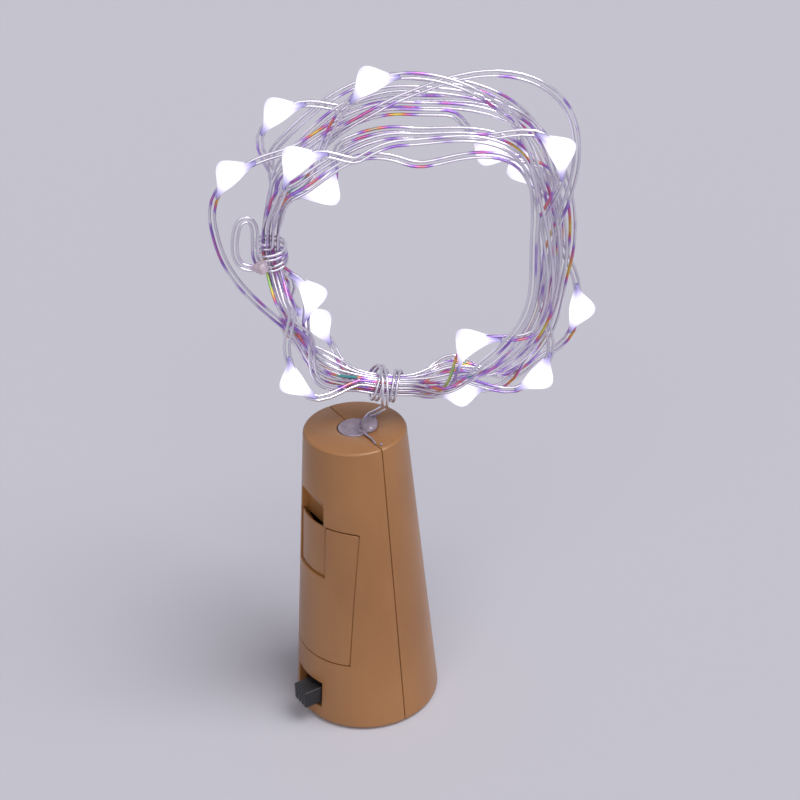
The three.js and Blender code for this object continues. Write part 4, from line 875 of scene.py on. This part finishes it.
lead_line = [Vector((x, y, STOPPER_HEIGHT / MM + above)) for x, y, above in LEAD_POINTS]
lead_line += [over_point(0)[0], over_point(OVER_JOIN)[0]]
for i, point in enumerate(curve_through(lead_line, LEAD_STEPS)[:-LEAD_STEPS - 1]):
    closed = min(i / LEAD_STEPS / LEAD_CLOSE, 1)
    route.append((point, BACKWARD, between(PAIR_HALF_INSIDE, PAIR_HALF, closed)))
for i in range(OVER_STEPS):
    point, inward = over_point(i / OVER_STEPS)
    route.append((point, inward, PAIR_HALF_WRAP))
wind_tie(LOWER_TIE, wind_start, 1)
for i in range(1, RUN_STEPS):
    share = i / RUN_STEPS
    angle = wind_start + wrap_half(LOWER_TIE) + WRAP_SWEEP * share ** RUN_EASE
    around = -90 + RUN_TWIST * (1 - (1 - share) ** 2)
    route.append((run_point(angle, LOWER_TIE, around, smoothstep(share, 0, 1)), FORWARD, PAIR_HALF))
ring_start = wind_start + wrap_half(LOWER_TIE) + WRAP_SWEEP
ring_end = wind_end - wrap_half(LEFT_TIE) - WRAP_SWEEP
section_count = round((ring_end - ring_start) / RING_STEP)
for i in range(section_count + 1):
    route.append((pair_point(between(ring_start, ring_end, i / section_count)), FORWARD, PAIR_HALF))
for i in range(1, RUN_STEPS):
    share = i / RUN_STEPS
    angle = ring_end + WRAP_SWEEP * (1 - (1 - share) ** RUN_EASE)
    around = 90 + RUN_TWIST * (1 - share) ** 2
    route.append((run_point(angle, LEFT_TIE, around, 1 - smoothstep(share, 0, 1)), FORWARD, PAIR_HALF))
wind_tie(LEFT_TIE, wind_end, -1)
tail_line = [route[-1][0]]
for aside, radial, axial in TAIL_POINTS:
    tail_line.append(ring_point(wind_end + aside, LEFT_TIE["radius"] + radial, axial))
for point in curve_through(tail_line, LEAD_STEPS)[1:]:
    route.append((point, FORWARD, PAIR_HALF))

ring_to_part = Matrix.Rotation(math.radians(RING_TURN), 4, "Z") @ Matrix.Scale(MM, 4)
ring_axes = ring_to_part.to_3x3().normalized()


def route_axes(i):
    """Directions along the route and across the pair, in the ring's frame."""
    along = (route[min(i + 1, len(route) - 1)][0] - route[max(i - 1, 0)][0]).normalized()
    return along, route[i][1].cross(along).normalized()


def wire_line(side):
    line = []
    for i, (point, _, half) in enumerate(route):
        line.append(ring_to_part @ (point + side * half * route_axes(i)[1]))
    return line


def silvered_copper():
    """Silvered copper under thin lacquer: bright metal with drifting patches of interference colour."""
    material, tree = new_material("silvered_copper_lacquered")
    along = add(tree, "ShaderNodeAttribute", attribute_name="along").outputs["Fac"]
    patch_at = add(tree, "ShaderNodeMath", {0: along, 1: 1 / PATCH_LENGTH}, operation="MULTIPLY")
    patch = add(tree, "ShaderNodeTexNoise", {
        "W": patch_at.outputs["Value"], "Scale": 1, "Detail": 2, "Roughness": 0.6}, noise_dimensions="1D")
    colour = ramp(tree, patch.outputs["Fac"], [
        (0.2, "#5FBFB4"), (0.24, "#7CCF86"), (0.27, "#E0CB66"), (0.3, "#E2905F"), (0.33, "#D26FB0"),
        (0.36, "#A987D6"), (0.41, "#D9D4E0"), (0.6, "#E9E6EE"), (0.64, "#BFA6E0"), (0.68, "#9A74CE"),
        (0.71, "#D277B6"), (0.74, "#E2905F"), (0.78, "#63BDB4")])
    worn = noise(tree, FINE_PATCH, 2)
    return surfaced(material, {
        "Base Color": colour, "Metallic": 1, "Roughness": spread(tree, worn, 0.14, 0.3)})


string_metal = silvered_copper()
string_wires = {}
for name, node, side in (
        ("negative_wire", "string_wire_negative", 1), ("positive_wire", "string_wire_positive", -1)):
    line = wire_line(side)
    mesh = grown(name, line_mesh(name, line), drawn_wire, {
        "Wire radius": WIRE_RADIUS * MM, "Sides": WIRE_SIDES, "Finish": string_metal})
    wire = new_piece(name, mesh, string_metal, "stopper", node)
    string_wires[name] = (wire, line)


# Light drops: each is a chip of light soldered across the two wires and sealed in a drop of clear
# resin that ran out to points along them before it set. All are lit, so the resin glows white at
# the chip and falls to lavender where it thins.
DROP_REACH = 3.7  # from its middle to the points of its tails
DROP_APEX = 2.75
DROP_BACK = 0.95
DROP_HALF_WIDTH = 1.6
TAIL_HALF_WIDTH = 0.62
TAIL_DEPTH = 0.28
DROP_POINTED = 2.4
BACK_EASE = 0.7
WIDTH_EASE = 0.75
DROP_SIZE = 0.97
DROP_SIZE_SPREAD = 0.04
DROP_SIZE_STEP = 2.3  # radians from one drop's size to the next one's
CHIP_DEPTH = 0.25
GLOW_NEAR = 1.3  # from the chip, within which the resin is brightest
GLOW_FAR = 4.2
DROP_STATIONS = 32
DROP_SIDES = 24


def drop_mesh():
    """One drop along X, hanging to +Y, in millimetres. Each point keeps its station and its glow."""
    bm = bmesh.new()
    station = bm.verts.layers.float.new("station")
    glow = bm.verts.layers.float.new("glow")
    chip = Vector((0, CHIP_DEPTH, 0))
    rings = []
    for i in range(DROP_STATIONS + 1):
        share = 2 * i / DROP_STATIONS - 1
        swell = math.cos(math.pi / 2 * share) ** DROP_POINTED if abs(share) < 1 else 0
        apex = between(TAIL_DEPTH, DROP_APEX, swell)
        back = between(TAIL_DEPTH, DROP_BACK, swell ** BACK_EASE)
        half_width = between(TAIL_HALF_WIDTH, DROP_HALF_WIDTH, swell ** WIDTH_EASE)
        ring = []
        for j in range(DROP_SIDES):
            a = 2 * math.pi * j / DROP_SIDES
            depth = math.cos(a) * (apex if math.cos(a) > 0 else back)
            vertex = bm.verts.new((share * DROP_REACH, depth, half_width * math.sin(a)))
            vertex[station] = vertex.co.x
            vertex[glow] = 1 - smoothstep((vertex.co - chip).length, GLOW_NEAR, GLOW_FAR)
            ring.append(vertex)
        rings.append(ring)
    for first, second in zip(rings, rings[1:]):
        for j in range(DROP_SIDES):
            k = (j + 1) % DROP_SIDES
            bm.faces.new((first[j], second[j], second[k], first[k]))
    bm.faces.new(rings[0])
    bm.faces.new(reversed(rings[-1]))
    bmesh.ops.recalc_face_normals(bm, faces=bm.faces)
    mesh = bpy.data.meshes.new("one_drop")
    bm.to_mesh(mesh)
    bm.free()
    return mesh


def drop_tree():
    """Sets a drop at each point, turned and sized as the point says, and bends it along its wires."""
    tree, given = new_tree("resin_drops", {"Drop": "Object", "Size": "Float"})
    drop = add(tree, "GeometryNodeObjectInfo", {"Object": given["Drop"]})
    turn = add(tree, "GeometryNodeInputNamedAttribute", {"Name": "turn"}, data_type="QUATERNION")
    swell = add(tree, "GeometryNodeInputNamedAttribute", {"Name": "swell"}, data_type="FLOAT_VECTOR")
    scale = add(tree, "ShaderNodeVectorMath", {
        0: swell.outputs["Attribute"], "Scale": given["Size"]}, operation="SCALE")
    placed = add(tree, "GeometryNodeInstanceOnPoints", {
        "Points": given["Geometry"], "Instance": drop.outputs["Geometry"],
        "Rotation": turn.outputs["Attribute"], "Scale": scale.outputs["Vector"]})
    whole = add(tree, "GeometryNodeRealizeInstances", {"Geometry": placed.outputs["Instances"]})
    station = add(tree, "GeometryNodeInputNamedAttribute", {"Name": "station"}, data_type="FLOAT")
    bend = add(tree, "GeometryNodeInputNamedAttribute", {"Name": "bend"}, data_type="FLOAT_VECTOR")
    square = add(tree, "ShaderNodeMath", {0: station.outputs["Attribute"], 1: 2}, operation="POWER")
    moved = add(tree, "ShaderNodeVectorMath", {
        0: bend.outputs["Attribute"], "Scale": square.outputs["Value"]}, operation="SCALE")
    bent = add(tree, "GeometryNodeSetPosition", {
        "Geometry": whole.outputs["Geometry"], "Offset": moved.outputs["Vector"]})
    smooth = add(tree, "GeometryNodeSetShadeSmooth", {"Geometry": bent.outputs["Geometry"]})
    return close_tree(tree, smooth.outputs["Geometry"], given["Finish"])


def lit_resin():
    """Clear epoxy lit from inside: white at the chip, lavender where the drop thins, with a wet gloss."""
    material, tree = new_material("epoxy_drop_lit")
    glow = add(tree, "ShaderNodeAttribute", attribute_name="glow").outputs["Fac"]
    return surfaced(material, {
        "Base Color": ramp(tree, glow, [(0, "#8D84BE"), (0.5, "#B4ACD9"), (1, "#D3CDEA")]),
        "Roughness": 0.12, "IOR": 1.5,
        "Emission Color": ramp(tree, glow, [(0.1, "#B7ACEB"), (0.45, "#DCD6FF"), (0.8, "#FFFFFF")]),
        "Emission Strength": spread(tree, glow, 0.08, 0.85)})


epoxy_lit = lit_resin()
drop_points = bpy.data.meshes.new("drop_points")
turns, swells, bends, middles = [], [], [], []
for i, drop in enumerate(drops):
    point = pair_point(drop["angle"])
    tail = math.degrees(DROP_REACH / pair_radius(drop["angle"]))
    before, after = pair_point(drop["angle"] - tail), pair_point(drop["angle"] + tail)
    along = (after - before).normalized()
    aside = drop["outward"] * BACKWARD.cross(along).normalized()
    axes = Matrix((along, aside, along.cross(aside))).transposed()
    size = DROP_SIZE + DROP_SIZE_SPREAD * math.sin(DROP_SIZE_STEP * i)
    sag = aside.dot((before + after) / 2 - point) * MM
    middles.append(ring_to_part @ point)
    turns += list((ring_axes @ axes).to_quaternion())
    swells += [between(1, size, 0.5), size, size]
    bends += list(ring_axes @ aside * sag / DROP_REACH ** 2)
drop_points.from_pydata(middles, [], [])
drop_points.attributes.new("turn", "QUATERNION", "POINT").data.foreach_set("value", turns)
drop_points.attributes.new("swell", "FLOAT_VECTOR", "POINT").data.foreach_set("vector", swells)
drop_points.attributes.new("bend", "FLOAT_VECTOR", "POINT").data.foreach_set("vector", bends)
one_drop = bpy.data.objects.new("one_drop", drop_mesh())
light_mesh = grown("light_drops", drop_points, drop_tree(), {
    "Drop": one_drop, "Size": MM, "Finish": epoxy_lit})
bpy.data.objects.remove(one_drop)
drop_nodes = [f"led_bead_{i + 1:02d}" for i in range(len(drops))]
light_drops = new_piece("light_drops", light_mesh, epoxy_lit, "stopper", *drop_nodes)


# End drop: the cut ends of both wires are dipped in the same resin, which is not lit and hangs as
# a small clear bead beside the left tie.
END_DROP_RADIUS = 0.95
END_DROP_STEPS = 24
END_DROP_SEGMENTS = 32
END_NARROW = 0.18  # share of its width that it loses over the wires
END_DRAWN = 0.55  # share of its radius that it is drawn out by over them
END_GAP = 0.2
RESIN_CLOUD = 1.5 * MM


def clear_resin():
    """Set epoxy with no light in it: pale pink-lavender, glossy and partly clear."""
    material, tree = new_material("epoxy_drop_unlit")
    colour = ramp(tree, noise(tree, RESIN_CLOUD, 2), [(0.3, "#E3CBD8"), (0.7, "#F2E8F2")])
    return surfaced(material, {
        "Base Color": colour, "Roughness": 0.08, "IOR": 1.5, "Transmission Weight": 0.6})


def end_drop_mesh():
    """A teardrop that narrows back over the two wires."""
    tail_point, tail_along = route[-1][0], route_axes(len(route) - 1)[0]
    profile = []
    for i in range(END_DROP_STEPS + 1):
        a = math.pi * i / END_DROP_STEPS
        over_wires = max(-math.cos(a), 0)
        radius = END_DROP_RADIUS * math.sin(a) * (1 - END_NARROW * over_wires)
        height = END_DROP_RADIUS * math.cos(a) * (1 + END_DRAWN * over_wires ** 3)
        profile.append((radius * MM, height * MM))
    mesh = turned_mesh("end_drop", profile, END_DROP_SEGMENTS)
    aim = ring_axes @ tail_along
    centre = ring_to_part @ (tail_point + tail_along * (END_DROP_RADIUS + END_GAP))
    mesh.transform(Matrix.Translation(centre) @ aim.to_track_quat("Z", "Y").to_matrix().to_4x4())
    return mesh


end_drop = new_piece("end_drop", end_drop_mesh(), clear_resin(), "stopper", "string_end_drop")


# Each wire with its line; the positive one is listed with the drops and end drop that it carries
for name, carried in (("negative_wire", []), ("positive_wire", [light_drops, end_drop])):
    wire, line = string_wires[name]


# Stage: a plain pale floor with soft light from above and behind, and the camera at the height and
# angle from which the stopper was seen.
CAMERA_PLACE = (185.3 * MM, -106.0 * MM, 177.05 * MM)
CAMERA_AZIMUTH = 58.5
CAMERA_PITCH = 30.77
CAMERA_ROLL = -2.05
CAMERA_LENS = 81
CAMERA_SENSOR = 36
CAMERA_NEAR, CAMERA_FAR = 0.01, 20
ROOM_LIGHT = 0.35
ROOM_SEEN = 0.85
FLOOR_HALF = 3  # metres

floor_mesh = bpy.data.meshes.new("floor")
floor_corners = [(FLOOR_HALF * x, FLOOR_HALF * y, 0) for x, y in ((-1, -1), (1, -1), (1, 1), (-1, 1))]
floor_mesh.from_pydata(floor_corners, [], [(0, 1, 2, 3)])
floor = in_scene("floor", floor_mesh)
paper = new_material("matt_pale_paper")[0]
floor_mesh.materials.append(surfaced(paper, {"Base Color": linear("#C9C8D2"), "Roughness": 0.9}))


def soft_light(name, aim, width, power, colour):
    """Broad light from one side, as even far off as near the object."""
    lamp = bpy.data.lights.new(name, "SUN")
    lamp.angle = math.radians(width)
    lamp.energy = power
    lamp.color = linear(colour)[:3]
    in_scene(name, lamp).rotation_euler = (-Vector(aim)).to_track_quat("-Z", "Y").to_euler()


soft_light("key", aim=(0.4, 0.25, 0.9), width=35, power=1.9, colour="#FFFFFF")
soft_light("fill", aim=(0.75, -0.55, 0.55), width=60, power=0.9, colour="#FFFDFA")

# The room lights the object softly. The camera and bright metal see it as pale as the floor.
world = bpy.data.worlds.new("studio")
world.use_nodes = True
room = world.node_tree
room.nodes.clear()
path = add(room, "ShaderNodeLightPath").outputs
seen = path["Is Camera Ray"]
for ray in ("Is Glossy Ray", "Is Transmission Ray"):
    seen = add(room, "ShaderNodeMath", {0: seen, 1: path[ray]}, operation="MAXIMUM").outputs["Value"]
level = add(room, "ShaderNodeMapRange", {"Value": seen, "To Min": ROOM_LIGHT, "To Max": ROOM_SEEN})
sky = add(room, "ShaderNodeBackground", {"Color": linear("#DAD9E2"), "Strength": level.outputs["Result"]})
add(room, "ShaderNodeOutputWorld", {"Surface": sky.outputs["Background"]})
bpy.context.scene.world = world
bpy.context.scene.view_settings.view_transform = "Standard"

camera_data = bpy.data.cameras.new("camera")
camera_data.sensor_width = CAMERA_SENSOR
camera_data.lens = CAMERA_LENS
camera_data.clip_start = CAMERA_NEAR
camera_data.clip_end = CAMERA_FAR
camera = in_scene("camera", camera_data)
aim = Matrix.Translation(CAMERA_PLACE)
for turn, axis in ((CAMERA_AZIMUTH, "Z"), (90 - CAMERA_PITCH, "X"), (CAMERA_ROLL, "Z")):
    aim = aim @ Matrix.Rotation(math.radians(turn), 4, axis)
camera.matrix_world = aim
bpy.context.scene.camera = camera
